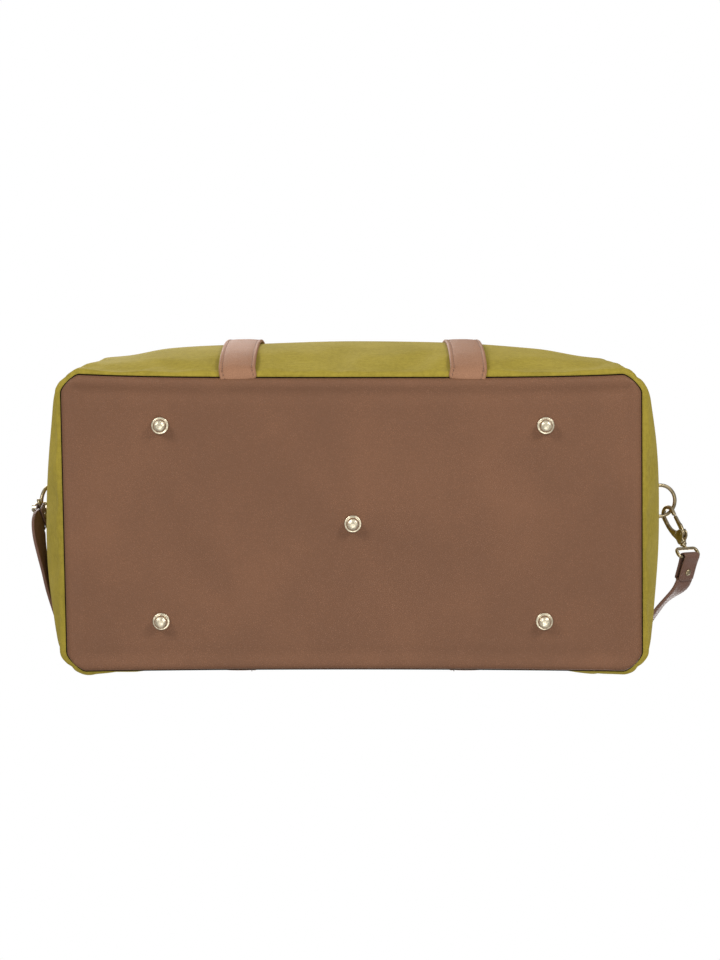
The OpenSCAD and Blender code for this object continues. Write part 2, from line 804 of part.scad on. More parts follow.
base_panel();
base_board();
base_welt();
feet();
foot_washers();
front_panel();
back_panel();
left_end_panel();
right_end_panel();
lining();
left_top_band();
right_top_band();
left_zip_end();
right_zip_end();
front_flap();
front_zip_tape();
front_zip_teeth();
back_flap();
back_zip_tape();
back_zip_teeth();
zip_slider();
zip_pull();
front_left_strap();
front_right_strap();
back_left_strap();
back_right_strap();
front_handle();
front_grip();
back_handle();
back_grip();
left_ring_tab();
right_ring_tab();
left_ring();
right_ring();
left_hook();
right_hook();
left_gate();
right_gate();
left_swivel();
right_swivel();
shoulder_strap();
left_strap_end();
right_strap_end();
strap_rivets();
strap_buckle();
strap_keeper();
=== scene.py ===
"""Looks of a boxy canvas duffel bag: leather base on brass feet, padded canvas walls, handles, top zip
and a shoulder strap on snap hooks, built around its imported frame."""

import json
import math

import bmesh
import bpy
from bpy.props import FloatProperty, FloatVectorProperty, IntProperty, PointerProperty
from mathutils import Matrix, Vector, noise
from mathutils.bvhtree import BVHTree


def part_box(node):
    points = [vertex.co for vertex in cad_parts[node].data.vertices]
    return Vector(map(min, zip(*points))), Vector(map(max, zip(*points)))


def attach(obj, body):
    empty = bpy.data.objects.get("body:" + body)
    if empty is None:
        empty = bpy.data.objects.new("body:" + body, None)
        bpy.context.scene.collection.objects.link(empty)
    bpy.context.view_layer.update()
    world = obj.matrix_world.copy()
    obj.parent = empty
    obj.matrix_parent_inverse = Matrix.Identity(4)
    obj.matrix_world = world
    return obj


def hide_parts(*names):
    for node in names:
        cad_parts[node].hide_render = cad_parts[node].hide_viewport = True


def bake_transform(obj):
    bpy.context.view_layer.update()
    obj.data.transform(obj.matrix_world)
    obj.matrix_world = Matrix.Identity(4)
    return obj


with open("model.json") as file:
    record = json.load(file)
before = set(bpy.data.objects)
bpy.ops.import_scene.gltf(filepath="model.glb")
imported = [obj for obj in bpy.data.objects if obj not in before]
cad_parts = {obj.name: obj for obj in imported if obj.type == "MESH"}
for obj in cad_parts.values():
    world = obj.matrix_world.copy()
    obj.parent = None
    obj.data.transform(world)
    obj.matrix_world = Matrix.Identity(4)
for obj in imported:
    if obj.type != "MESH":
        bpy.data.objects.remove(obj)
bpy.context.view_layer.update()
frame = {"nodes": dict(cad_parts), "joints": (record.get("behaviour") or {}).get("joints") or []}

bl_info = {
    "name": "Canvas Duffel Bag",
    "version": (1, 0, 0),
    "blender": (4, 5, 0),
    "location": "View3D > Sidebar > Duffel",
    "description": "Builds the looks of a canvas and leather duffel bag around its packed frame",
    "category": "Add Mesh",
}

MM = 0.001
UP = Vector((0, 0, 1))
ACROSS = Vector((0, 1, 0))
JOINTS = {joint["name"]: joint for joint in frame["joints"]}


def corners_of(node):
    """The low and the high corner of a CAD node's box."""
    return [Vector(corner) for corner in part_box(node)]


def joint_place(name):
    """The place of a joint at rest."""
    return Vector(JOINTS[name]["pos_m"])


BASE_LOW, BASE_HIGH = corners_of("base_panel")
TAPE_LOW, TAPE_HIGH = corners_of("front_zip_tape")
TEETH_LOW, TEETH_HIGH = corners_of("front_zip_teeth")
BAND_LOW, BAND_HIGH = corners_of("right_top_band")
STOP_LOW, STOP_HIGH = corners_of("right_zip_end")
SLIDER_LOW, SLIDER_HIGH = corners_of("zip_slider")
TAB_LOW, TAB_HIGH = corners_of("right_ring_tab")
STRAP_LOW, STRAP_HIGH = corners_of("front_right_strap")
GRIP_LOW, GRIP_HIGH = corners_of("front_grip")
HALF_L = BASE_HIGH.x
HALF_W = BASE_HIGH.y
SEAM_Z = BASE_HIGH.z + 1 * MM
TOP_Z = corners_of("front_panel")[1].z


def srgb(red, green, blue):
    """A colour given as 0 to 255, as the linear values that shaders use."""
    shares = [value / 255 for value in (red, green, blue)]
    return [s / 12.92 if s <= 0.04045 else ((s + 0.055) / 1.055) ** 2.4 for s in shares]


def length_property(name, description, default):
    """A size in metres that shows in the sidebar in scene units."""
    return FloatProperty(name=name, description=description, default=default, min=0, unit="LENGTH",
                         precision=4)


def colour_property(name, description, red, green, blue):
    """A colour for the sidebar, from 0 to 255 values."""
    return FloatVectorProperty(name=name, description=description, default=srgb(red, green, blue),
                               subtype="COLOR", size=3, min=0, max=1)


class DuffelSizes(bpy.types.PropertyGroup):
    """Sizes of the soft parts and of the small details."""

    cell: length_property("Canvas cell", "Distance between the canvas grid's lines", 6 * MM)
    front_bulge: length_property("Front bulge", "How far the front wall stands out at its middle", 17.5 * MM)
    back_bulge: length_property("Back bulge", "How far the back wall stands out at its middle", 5 * MM)
    end_bulge: length_property("End bulge", "How far the end walls stand out at their middle", 19.5 * MM)
    seam_roll: length_property("Seam roll", "How far the canvas rolls out past the base seam", 6 * MM)
    canvas_t: length_property("Canvas thickness", "Thickness of the padded canvas that shows", 2.4 * MM)
    corner_l: length_property("Corner length", "Length of each rounded corner along a side", 16 * MM)
    base_roll: length_property("Base roll", "Radius of the leather's turn into the base seam", 4 * MM)
    base_skew: length_property("Base skew", "How far the leather's ends lean along the bag", 1.7 * MM)
    base_bow: length_property("Base bow", "How far the front seam draws in between its corners", 3.6 * MM)
    piping_d: length_property("Piping diameter", "Diameter of the piping round the top", 4 * MM)
    strap_w: length_property("Handle strap width", "Width of the flat handle straps", 32 * MM)
    strap_t: length_property("Handle strap thickness", "Thickness of the flat handle straps", 3.2 * MM)
    roll_d: length_property("Handle diameter", "Diameter of the rolled handles", 12 * MM)
    handle_bend: length_property("Handle bend", "Radius of the handles' shoulders", 60 * MM)
    sling_w: length_property("Shoulder strap width", "Width of the shoulder strap", 20 * MM)
    sling_t: length_property("Shoulder strap thickness", "Thickness of the shoulder strap", 3 * MM)
    ring_wire: length_property("Ring wire", "Wire diameter of the D-rings", 3.6 * MM)
    ring_inside: length_property("Ring inside width", "Inside width of the D-rings", 26.2 * MM)
    ring_leg: length_property("Ring leg", "Length of the D-rings' straight legs", 7 * MM)
    loop_wire: length_property("Loop wire", "Wire diameter of the swivel loops", 3.2 * MM)
    thread_d: length_property("Thread diameter", "Thickness of the sewing thread", 0.7 * MM)
    stitch_l: length_property("Stitch length", "Length of one stitch", 2.9 * MM)
    stitch_pitch: length_property("Stitch pitch", "Distance from one stitch to the next", 4 * MM)
    tooth_pitch: length_property("Zip tooth pitch", "Distance from one zip tooth to the next", 3 * MM)
    cloth_frames: IntProperty(name="Cloth frames", description="Steps of the canvas simulation",
                              default=18, min=1)


class DuffelColours(bpy.types.PropertyGroup):
    """Colours of the bag's materials."""

    base_leather: colour_property("Base leather", "Brown pebbled leather of the base", 126, 86, 60)
    strap_leather: colour_property("Strap leather", "Paler brown leather of the handles", 166, 122, 94)
    sling_leather: colour_property("Shoulder strap leather", "Darker brown leather", 118, 86, 72)
    # The welt's near-black colour is painted shade: it stands for the shadowed groove between the leather and
    # the canvas
    seam_shade_welt: colour_property("Welt leather, painted seam shade", "Dark leather in the base seam", 22, 15, 8)
    canvas: colour_property("Canvas", "Mustard green brushed canvas", 160, 142, 54)
    lining: colour_property("Lining", "Sand-coloured lining cotton", 196, 178, 140)
    tape: colour_property("Zip tape", "Dark green zip tape", 92, 82, 34)
    thread: colour_property("Thread", "Brown thread on the leather", 118, 84, 66)
    green_thread: colour_property("Green thread", "Thread on the canvas", 128, 112, 40)
    old_brass: colour_property("Antique brass", "Darkened brass of the rings and hooks", 178, 162, 130)
    pale_brass: colour_property("Pale brass", "Bright brass of the feet and rivets", 238, 226, 198)
    board: colour_property("Board", "Stiffening board in the base", 112, 92, 70)
    floor: colour_property("Floor", "Pale studio floor", 236, 236, 234)


def sizes():
    """The size settings of the current scene."""
    return bpy.context.scene.duffel_sizes


def colours():
    """The colour settings of the current scene."""
    return bpy.context.scene.duffel_colours


# ---- shader nodes ----

class Tree:
    """Adds nodes to a node tree and links them."""

    def __init__(self, tree):
        self.tree = tree

    def add(self, kind, inputs=None, **settings):
        """A new node; inputs holds a value or a socket for each input, by name or by number."""
        node = self.tree.nodes.new(kind)
        for name, value in settings.items():
            setattr(node, name, value)
        for name, value in (inputs or {}).items():
            if isinstance(value, bpy.types.NodeSocket):
                self.tree.links.new(value, node.inputs[name])
            else:
                node.inputs[name].default_value = value
        return node

    def link(self, source, shader, socket):
        """Feeds a shader's socket from another node."""
        self.tree.links.new(source, shader.inputs[socket])

    def maths(self, operation, first, second=0.5):
        """The result of a Math node."""
        return self.add("ShaderNodeMath", {0: first, 1: second}, operation=operation).outputs[0]

    def mixed(self, share, first, second):
        """A colour between two others."""
        node = self.add("ShaderNodeMix", {"Factor": share, "A": first, "B": second}, data_type="RGBA")
        return node.outputs["Result"]

    def ramped(self, value, low, high, to_low=0.0, to_high=1.0):
        """A value carried smoothly from one range to another."""
        node = self.add("ShaderNodeMapRange", {"Value": value, "From Min": low, "From Max": high,
                                               "To Min": to_low, "To Max": to_high},
                        interpolation_type="SMOOTHSTEP")
        return node.outputs["Result"]

    def noise(self, vector, scale, detail=2.0, roughness=0.5):
        """A noise value from 0 to 1."""
        node = self.add("ShaderNodeTexNoise", {"Vector": vector, "Scale": scale, "Detail": detail,
                                               "Roughness": roughness})
        return node.outputs["Fac"]


def new_group(name, inputs, outputs):
    """An empty shader group with named sockets; gives its tree helper, its inputs and its output node."""
    tree = bpy.data.node_groups.new(name, "ShaderNodeTree")
    for socket, kind, value in inputs:
        made = tree.interface.new_socket(socket, in_out="INPUT", socket_type=kind)
        if value is not None:
            made.default_value = value
    for socket, kind in outputs:
        tree.interface.new_socket(socket, in_out="OUTPUT", socket_type=kind)
    helper = Tree(tree)
    entry = helper.add("NodeGroupInput")
    return helper, entry.outputs, helper.add("NodeGroupOutput")


def finish_group(helper, exit_node, **results):
    """Links the group's results to its output sockets."""
    for name, socket in results.items():
        helper.tree.links.new(socket, exit_node.inputs[name.replace("_", " ").title()])
    return helper.tree


def leather_group():
    """Pebbled grain: creases between small cells, with pores, broad tone and rubbed high spots."""
    tree, given, out = new_group(
        "Leather grain",
        [("Vector", "NodeSocketVector", None), ("Cells", "NodeSocketFloat", 700.0)],
        [("Height", "NodeSocketFloat"), ("Tone", "NodeSocketFloat"), ("Rub", "NodeSocketFloat")])
    warp = tree.add("ShaderNodeTexNoise", {"Vector": given["Vector"], "Scale": 420.0, "Detail": 2.0})
    push = tree.add("ShaderNodeVectorMath", {0: warp.outputs["Color"], 1: (0.0012, 0.0012, 0.0012)},
                    operation="MULTIPLY")
    bent = tree.add("ShaderNodeVectorMath", {0: given["Vector"], 1: push.outputs[0]}, operation="ADD")
    cells = tree.add("ShaderNodeTexVoronoi", {"Vector": bent.outputs[0], "Scale": given["Cells"]},
                     feature="DISTANCE_TO_EDGE")
    pebble = tree.ramped(cells.outputs["Distance"], 0.0, 0.34)
    fine = tree.noise(given["Vector"], 2600.0, 2.0)
    swell = tree.noise(given["Vector"], 120.0, 3.0)
    height = tree.maths("ADD", tree.maths("MULTIPLY", pebble, 0.7), tree.maths("MULTIPLY", fine, 0.2))
    height = tree.maths("ADD", height, tree.maths("MULTIPLY", swell, 0.5))
    broad = tree.noise(given["Vector"], 11.0, 3.0, 0.55)
    tone = tree.maths("ADD", tree.maths("MULTIPLY", broad, 0.7), tree.maths("MULTIPLY", pebble, 0.3))
    rub = tree.maths("MULTIPLY", pebble, tree.ramped(tree.noise(given["Vector"], 34.0, 3.0), 0.4, 0.75))
    return finish_group(tree, out, height=height, tone=tone, rub=rub)


def weave_group():
    """Plain weave on a flat pattern in metres, with slubs and a fuzzy nap."""
    tree, given, out = new_group(
        "Brushed weave",
        [("Vector", "NodeSocketVector", None), ("Threads", "NodeSocketFloat", 1300.0),
         ("Nap", "NodeSocketFloat", 0.5)],
        [("Height", "NodeSocketFloat"), ("Tone", "NodeSocketFloat")])
    axes = tree.add("ShaderNodeSeparateXYZ", {0: given["Vector"]})
    along = tree.maths("MULTIPLY", tree.maths("MULTIPLY", axes.outputs[0], given["Threads"]), math.pi)
    up = tree.maths("MULTIPLY", tree.maths("MULTIPLY", axes.outputs[1], given["Threads"]), math.pi)
    warp = tree.maths("ABSOLUTE", tree.maths("SINE", along))
    weft = tree.maths("ABSOLUTE", tree.maths("SINE", up))
    over = tree.maths("GREATER_THAN", tree.maths("MULTIPLY", tree.maths("SINE", along),
                                                 tree.maths("SINE", up)), 0.0)
    under = tree.maths("SUBTRACT", 1.0, over)
    threads = tree.maths("ADD", tree.maths("MULTIPLY", warp, over), tree.maths("MULTIPLY", weft, under))
    slubs = tree.add("ShaderNodeTexNoise", {
        "Vector": tree.add("ShaderNodeMapping", {"Vector": given["Vector"], "Scale": (60.0, 900.0, 1.0)}
                           ).outputs[0], "Scale": 1.0, "Detail": 2.0}).outputs["Fac"]
    fuzz = tree.noise(given["Vector"], 1500.0, 4.0, 0.7)
    clumps = tree.noise(given["Vector"], 240.0, 3.0, 0.6)
    nap = tree.maths("ADD", tree.maths("MULTIPLY", fuzz, 0.6), tree.maths("MULTIPLY", clumps, 0.6))
    bare = tree.maths("SUBTRACT", 1.0, given["Nap"])
    height = tree.maths("ADD", tree.maths("MULTIPLY", threads, bare),
                        tree.maths("MULTIPLY", nap, given["Nap"]))
    broad = tree.noise(given["Vector"], 16.0, 3.0, 0.6)
    tone = tree.maths("ADD", tree.maths("MULTIPLY", fuzz, 0.35), tree.maths("MULTIPLY", clumps, 0.25))
    tone = tree.maths("ADD", tone, tree.maths("MULTIPLY", broad, 0.25))
    tone = tree.maths("ADD", tone, tree.maths("MULTIPLY", slubs, 0.15))
    return finish_group(tree, out, height=height, tone=tone)


def patina_group():
    """Cast and plated metal: soft dents, fine scratches and cloudy tarnish."""
    tree, given, out = new_group(
        "Metal patina",
        [("Vector", "NodeSocketVector", None), ("Dents", "NodeSocketFloat", 260.0)],
        [("Height", "NodeSocketFloat"), ("Tarnish", "NodeSocketFloat"), ("Haze", "NodeSocketFloat")])
    dents = tree.add("ShaderNodeTexVoronoi", {"Vector": given["Vector"], "Scale": given["Dents"]},
                     feature="SMOOTH_F1")
    scratches = tree.add("ShaderNodeTexNoise", {
        "Vector": tree.add("ShaderNodeMapping", {"Vector": given["Vector"], "Scale": (2400.0, 260.0, 500.0),
                                                 "Rotation": (0.4, 0.7, 0.3)}).outputs[0],
        "Scale": 1.0, "Detail": 3.0}).outputs["Fac"]
    height = tree.maths("ADD", tree.maths("MULTIPLY", dents.outputs["Distance"], 0.8),
                        tree.maths("MULTIPLY", scratches, 0.12))
    tarnish = tree.ramped(tree.noise(given["Vector"], 190.0, 4.0, 0.65), 0.42, 0.68)
    haze = tree.noise(given["Vector"], 700.0, 3.0)
    return finish_group(tree, out, height=height, tarnish=tarnish, haze=haze)


def shared_group(tree, name, builder, inputs):
    """Puts the named shader group, built the first time it is asked for, in a material's tree."""
    group = bpy.data.node_groups.get(name) or builder()
    return tree.add("ShaderNodeGroup", inputs, node_tree=group).outputs


def new_material(name):
    """A material with an empty Principled shader; gives the material, its tree helper and the shader."""
    material = bpy.data.materials.new(name)
    material.use_nodes = True
    material.node_tree.nodes.clear()
    tree = Tree(material.node_tree)
    shader = tree.add("ShaderNodeBsdfPrincipled")
    tree.add("ShaderNodeOutputMaterial", {"Surface": shader.outputs[0]})
    return material, tree, shader


def bumped(tree, shader, height, depth, strength=1.0):
    """Lays a height on a shader as bump; depth is in metres."""
    bump = tree.add("ShaderNodeBump", {"Height": height, "Distance": depth, "Strength": strength})
    tree.link(bump.outputs["Normal"], shader, "Normal")


def shaded(colour, share):
    """A colour made darker or lighter, with full alpha."""
    return [min(value * share, 1.0) for value in colour] + [1.0]


def leather_material(name, colour, cells, depth, roughness, shine=0.34):
    """Pebbled leather of one colour."""
    material, tree, shader = new_material(name)
    place = tree.add("ShaderNodeTexCoord").outputs["Object"]
    grain = shared_group(tree, "Leather grain", leather_group, {"Vector": place, "Cells": cells})
    tinted = tree.mixed(tree.ramped(grain["Tone"], 0.3, 0.75), shaded(colour, 0.84), shaded(colour, 1.1))
    rubbed = tree.mixed(tree.maths("MULTIPLY", grain["Rub"], 0.35), tinted, shaded(colour, 1.28))
    tree.link(rubbed, shader, "Base Color")
    rough = tree.ramped(grain["Height"], 0.2, 1.1, roughness + 0.14, roughness - 0.04)
    tree.link(rough, shader, "Roughness")
    shader.inputs["Specular IOR Level"].default_value = shine
    bumped(tree, shader, grain["Height"], depth)
    return material


def cloth_material(name, colour, threads, nap, depth, sheen, spread=0.22):
    """Woven cloth on the piece's own flat pattern."""
    material, tree, shader = new_material(name)
    place = tree.add("ShaderNodeTexCoord").outputs["UV"]
    weave = shared_group(tree, "Brushed weave", weave_group,
                         {"Vector": place, "Threads": threads, "Nap": nap})
    tinted = tree.mixed(tree.ramped(weave["Tone"], 0.34, 0.62), shaded(colour, 1 - spread),
                        shaded(colour, 1 + spread))
    tree.link(tinted, shader, "Base Color")
    rough = tree.ramped(weave["Tone"], 0.3, 0.7, 0.96, 0.84)
    tree.link(rough, shader, "Roughness")
    shader.inputs["Specular IOR Level"].default_value = 0.2
    shader.inputs["Sheen Weight"].default_value = sheen
    shader.inputs["Sheen Roughness"].default_value = 0.5
    shader.inputs["Sheen Tint"].default_value = shaded(colour, 1.5)
    bumped(tree, shader, weave["Height"], depth)
    return material


def metal_material(name, colour, dents, depth, dark, roughness):
    """Plated metal with tarnish in its clouds."""
    material, tree, shader = new_material(name)
    place = tree.add("ShaderNodeTexCoord").outputs["Object"]
    patina = shared_group(tree, "Metal patina", patina_group, {"Vector": place, "Dents": dents})
    tinted = tree.mixed(patina["Tarnish"], shaded(colour, 1.0), shaded(colour, dark))
    tree.link(tinted, shader, "Base Color")
    rough = tree.ramped(patina["Haze"], 0.3, 0.7, roughness - 0.07, roughness + 0.12)
    tree.link(rough, shader, "Roughness")
    shader.inputs["Metallic"].default_value = 1.0
    bumped(tree, shader, patina["Height"], depth)
    return material


def thread_material(name, colour):
    """Twisted sewing thread."""
    material, tree, shader = new_material(name)
    place = tree.add("ShaderNodeTexCoord").outputs["Object"]
    twist = tree.noise(place, 3200.0, 1.0)
    tinted = tree.mixed(tree.ramped(twist, 0.35, 0.65), shaded(colour, 0.75), shaded(colour, 1.15))
    tree.link(tinted, shader, "Base Color")
    shader.inputs["Roughness"].default_value = 0.7
    shader.inputs["Sheen Weight"].default_value = 0.2
    bumped(tree, shader, twist, 0.0001)
    return material


def board_material():
    """Pressed fibreboard."""
    material, tree, shader = new_material("Fibreboard")
    place = tree.add("ShaderNodeTexCoord").outputs["Object"]
    fibres = tree.noise(place, 900.0, 5.0, 0.7)
    base = colours().board
    tinted = tree.mixed(tree.ramped(fibres, 0.35, 0.65), shaded(base, 0.75), shaded(base, 1.2))
    tree.link(tinted, shader, "Base Color")
    shader.inputs["Roughness"].default_value = 0.9
    bumped(tree, shader, fibres, 0.0002)
    return material


def material_named(name):
    """The bag's material of that name, built the first time it is asked for."""
    found = bpy.data.materials.get(name)
    if found:
        return found
    tones = colours()
    recipes = {
        "Base leather": lambda: leather_material(name, tones.base_leather, 720.0, 0.00022, 0.5),
        "Strap leather": lambda: leather_material(name, tones.strap_leather, 900.0, 0.00014, 0.58, 0.16),
        "Shoulder strap leather": lambda: leather_material(name, tones.sling_leather, 950.0, 0.00014, 0.46),
        # Near-black welt with little shine: painted shade of the seam's groove
        "Welt leather, painted seam shade": lambda: leather_material(name, tones.seam_shade_welt, 900.0, 0.0001, 0.8, 0.05),
        "Brushed canvas": lambda: cloth_material(name, tones.canvas, 1250.0, 0.72, 0.00035, 0.15),
        "Lining cotton": lambda: cloth_material(name, tones.lining, 1500.0, 0.25, 0.0002, 0.05, 0.08),
        "Zip tape": lambda: cloth_material(name, tones.tape, 1700.0, 0.15, 0.0003, 0.1),
        "Brown thread": lambda: thread_material(name, tones.thread),
        "Green thread": lambda: thread_material(name, tones.green_thread),
        "Antique brass": lambda: metal_material(name, tones.old_brass, 420.0, 0.0001, 0.55, 0.36),
        "Pale brass": lambda: metal_material(name, tones.pale_brass, 420.0, 0.00045, 0.82, 0.4),
        "Fibreboard": board_material,
    }
    return recipes[name]()


# ---- mesh helpers ----

def finish_piece(name, bm, material, body, replaces=(), smooth=True, fix_normals=True, crease=None):
    """Turns a bmesh into a piece of the bag that rides on a body; crease is the sharpest smooth edge."""
    if fix_normals:
        bmesh.ops.recalc_face_normals(bm, faces=bm.faces)
    for face in bm.faces:
        face.smooth = smooth
    mesh = bpy.data.meshes.new(name)
    bm.to_mesh(mesh)
    bm.free()
    piece = bpy.data.objects.new(name, mesh)
    bpy.context.collection.objects.link(piece)
    mesh.materials.append(material_named(material))
    if crease:
        mesh.set_sharp_from_angle(angle=math.radians(crease))
    if replaces:
        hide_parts(*replaces)
    if body:
        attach(piece, body)
    return piece


def subdivided(piece, levels=1):
    """Adds a subdivision surface whose shown and rendered levels agree."""
    modifier = piece.modifiers.new("Smooth", "SUBSURF")
    modifier.levels = levels
    modifier.render_levels = levels


def thickened(piece, thickness):
    """Adds a wall thickness on the inner side."""
    modifier = piece.modifiers.new("Thickness", "SOLIDIFY")
    modifier.thickness = thickness
    modifier.offset = -1.0
    modifier.use_even_offset = True


def turn_faces(bm, down=False):
    """Turns every face of an open sheet to look up, or down."""
    for face in bm.faces:
        if (face.normal.z > 0) == down and face.normal.z:
            face.normal_flip()


def rounded_edges(bm, edges, offset, segments=3):
    """Bevels edges with a round profile; gives the new vertices."""
    return bmesh.ops.bevel(bm, geom=list(edges), offset=offset, segments=segments, affect="EDGES",
                           profile=0.5, material=-1)["verts"]


def extruded_row(bm, row, places, closed):
    """Extrudes a row of vertices to new places and gives the new row in the same order."""
    pairs = zip(row, row[1:] + row[:1]) if closed else zip(row, row[1:])
    edges = [bm.edges.get(pair) for pair in pairs]
    grown = bmesh.ops.extrude_edge_only(bm, edges=edges)["geom"]
    by_place = {vert.co.to_tuple(9): vert for vert in grown if isinstance(vert, bmesh.types.BMVert)}
    new_row = [by_place[vert.co.to_tuple(9)] for vert in row]
    for vert, place in zip(new_row, places):
        vert.co = place
    return new_row


def loft(bm, rows, closed=True, caps=True):
    """Draws the first row as a line of edges and extrudes it through the others."""
    verts = [bm.verts.new(place) for place in rows[0]]
    for pair in (zip(verts, verts[1:] + verts[:1]) if closed else zip(verts, verts[1:])):
        bm.edges.new(pair)
    made = [verts]
    for places in rows[1:]:
        made.append(extruded_row(bm, made[-1], places, closed))
    if caps and closed:
        for ends in (made[0], made[-1]):
            bm.faces.new(ends)
    return made


def lay_pattern(bm, rows, spacing_along, spacing_up):
    """Gives a closed lofted grid a flat pattern in metres: rows run along U and columns along V."""
    layer = bm.loops.layers.uv.new("Pattern")
    columns = len(rows[0])
    spots = {vert: (j, i) for i, row in enumerate(rows) for j, vert in enumerate(row)}
    for face in bm.faces:
        found = [spots[loop.vert] for loop in face.loops]
        wraps = max(f[0] for f in found) - min(f[0] for f in found) > columns / 2
        for loop, (j, i) in zip(face.loops, found):
            column = columns if wraps and j == 0 else j
            loop[layer].uv = (spacing_along[column], spacing_up[i])


def flat_pattern(bm):
    """Gives every face a flat pattern in metres, seen along its main direction."""
    layer = bm.loops.layers.uv.new("Pattern")
    bm.normal_update()
    for face in bm.faces:
        steep = max(range(3), key=lambda k: abs(face.normal[k]))
        first, second = [k for k in range(3) if k != steep]
        for loop in face.loops:
            loop[layer].uv = (loop.vert.co[first], loop.vert.co[second])


def frame_matrix(place, along, side, out):
    """A matrix that carries X, Y and Z to three directions and the origin to a place."""
    turn = Matrix((along, side, out)).transposed().to_4x4()
    return Matrix.Translation(place) @ turn


def square_to(vector, direction):
    """The part of a vector that is square to a direction, at length 1."""
    return (vector - direction * vector.dot(direction)).normalized()


def way_at(line, k):
    """The direction of an open line at one of its places."""
    return (line[min(k + 1, len(line) - 1)] - line[max(k - 1, 0)]).normalized()


def section_row(place, across, lift, section):
    """A flat section of (across, height) places, set on a line's place."""
    return [place + across * a + lift * h for a, h in section]


def circle_ring(place, side, out, radius, sides):
    """Places round a circle in the plane of two directions."""
    turns = [2 * math.pi * k / sides for k in range(sides)]
    return [place + side * (radius * math.cos(t)) + out * (radius * math.sin(t)) for t in turns]


def closed_wire(bm, path, out, radius, sides):
    """Sweeps a round wire along a flat closed path; out is square to the path's plane."""
    count = len(path)
    rows = []
    for k in range(count + 1):
        place = path[k % count]
        way = (path[(k + 1) % count] - path[k % count - 1]).normalized()
        rows.append(circle_ring(place, way.cross(out).normalized(), out, radius, sides))
    loft(bm, rows, caps=False)
    bmesh.ops.remove_doubles(bm, verts=bm.verts, dist=radius * 0.02)


def open_wire(bm, path, radius, side, sides):
    """Sweeps a round wire along a path that bends in the plane square to side."""
    rows = []
    for k, place in enumerate(path):
        rows.append(circle_ring(place, side, way_at(path, k).cross(side).normalized(), radius, sides))
    loft(bm, rows)


def arc_points(centre, first, second, radius, start, stop, steps):
    """Places along an arc in the plane of two directions, angles in degrees."""
    turns = [math.radians(start + (stop - start) * k / steps) for k in range(steps + 1)]
    return [centre + first * (radius * math.cos(t)) + second * (radius * math.sin(t)) for t in turns]


def lathe(bm, profile, matrix, steps):
    """Spins a profile of (radius, height) places about Z and carries it to its place."""
    verts = [bm.verts.new((radius, 0, height)) for radius, height in profile]
    edges = [bm.edges.new(pair) for pair in zip(verts, verts[1:])]
    bmesh.ops.spin(bm, geom=verts + edges, axis=(0, 0, 1), cent=(0, 0, 0), angle=2 * math.pi,
                   steps=steps, use_merge=True)
    made = set(verts)
    stack = list(verts)
    while stack:
        for edge in stack.pop().link_edges:
            for vert in edge.verts:
                if vert not in made:
                    made.add(vert)
                    stack.append(vert)
    bmesh.ops.remove_doubles(bm, verts=list(made), dist=1e-6)
    made = [vert for vert in made if vert.is_valid]
    bmesh.ops.transform(bm, matrix=matrix, verts=made)


def plate(bm, outline, thickness, matrix, bevel, segments=3):
    """A flat plate from an outline in X and Y, centred in Z, with rounded rims."""
    verts = [bm.verts.new((x, y, -thickness / 2)) for x, y in outline]
    face = bm.faces.new(verts)
    grown = bmesh.ops.extrude_face_region(bm, geom=[face])["geom"]
    upper = [v for v in grown if isinstance(v, bmesh.types.BMVert)]
    bmesh.ops.translate(bm, vec=(0, 0, thickness), verts=upper)
    everything = verts + upper
    rims = {edge for vert in everything for edge in vert.link_edges
            if abs(edge.verts[0].co.z - edge.verts[1].co.z) < thickness / 4}
    new = rounded_edges(bm, rims, bevel, segments)
    reach = {vert for vert in everything if vert.is_valid} | set(new)
    bmesh.ops.transform(bm, matrix=matrix, verts=list(reach))


def line_lengths(points):
    """Distance along a line at each of its points."""
    total = [0.0]
    for first, second in zip(points, points[1:]):
        total.append(total[-1] + (second - first).length)
    return total


def smooth_line(points, steps):
    """A smooth line through points, with steps places from each to the next."""
    line = []
    for k in range(len(points) - 1):
        a = points[max(k - 1, 0)]
        b, c = points[k], points[k + 1]
        d = points[min(k + 2, len(points) - 1)]
        for j in range(steps):
            t = j / steps
            line.append(0.5 * ((2 * b) + (c - a) * t + (2 * a - 5 * b + 4 * c - d) * t * t
                               + (3 * b - a - 3 * c + d) * t ** 3))
    return line + [points[-1].copy()]


def add_stitches(bm, line, facing):
    """Lays stitches along a line; facing gives the outward direction at each of its points."""
    size = sizes()
    total = line_lengths(line)
    count = int(total[-1] / size.stitch_pitch)
    k = 0
    for n in range(count):
        where = (n + 0.5) * total[-1] / count
        while total[k + 1] < where:
            k += 1
        share = (where - total[k]) / (total[k + 1] - total[k])
        place = line[k].lerp(line[k + 1], share)
        along = (line[k + 1] - line[k]).normalized()
        out = square_to(facing[k].lerp(facing[k + 1], share), along)
        grow = Matrix.Diagonal((size.stitch_l / 2, size.thread_d / 2, size.thread_d * 0.42, 1))
        matrix = frame_matrix(place, along, out.cross(along), out) @ grow
        bmesh.ops.create_icosphere(bm, subdivisions=1, radius=1, matrix=matrix)


# ---- the canvas form ----

# Share of a corner's length that is cut off at its middle
CORNER_CUT = 0.4
# How high the soft base's lean and bow reach up the walls
SETTLED_H = 120 * MM
# Powers that set how square a panel's fullness is along it and up it
FULL_ALONG, FULL_UP = 2.4, 2.3
# Heights over which the canvas rolls out of the base seam and into the top seam
BASE_ROLL_H, TOP_ROLL_H = 7 * MM, 5 * MM
# Depth and half width of the pinch at the walls' corner seams
PINCH, PINCH_W = 1.3 * MM, 2.5 * MM


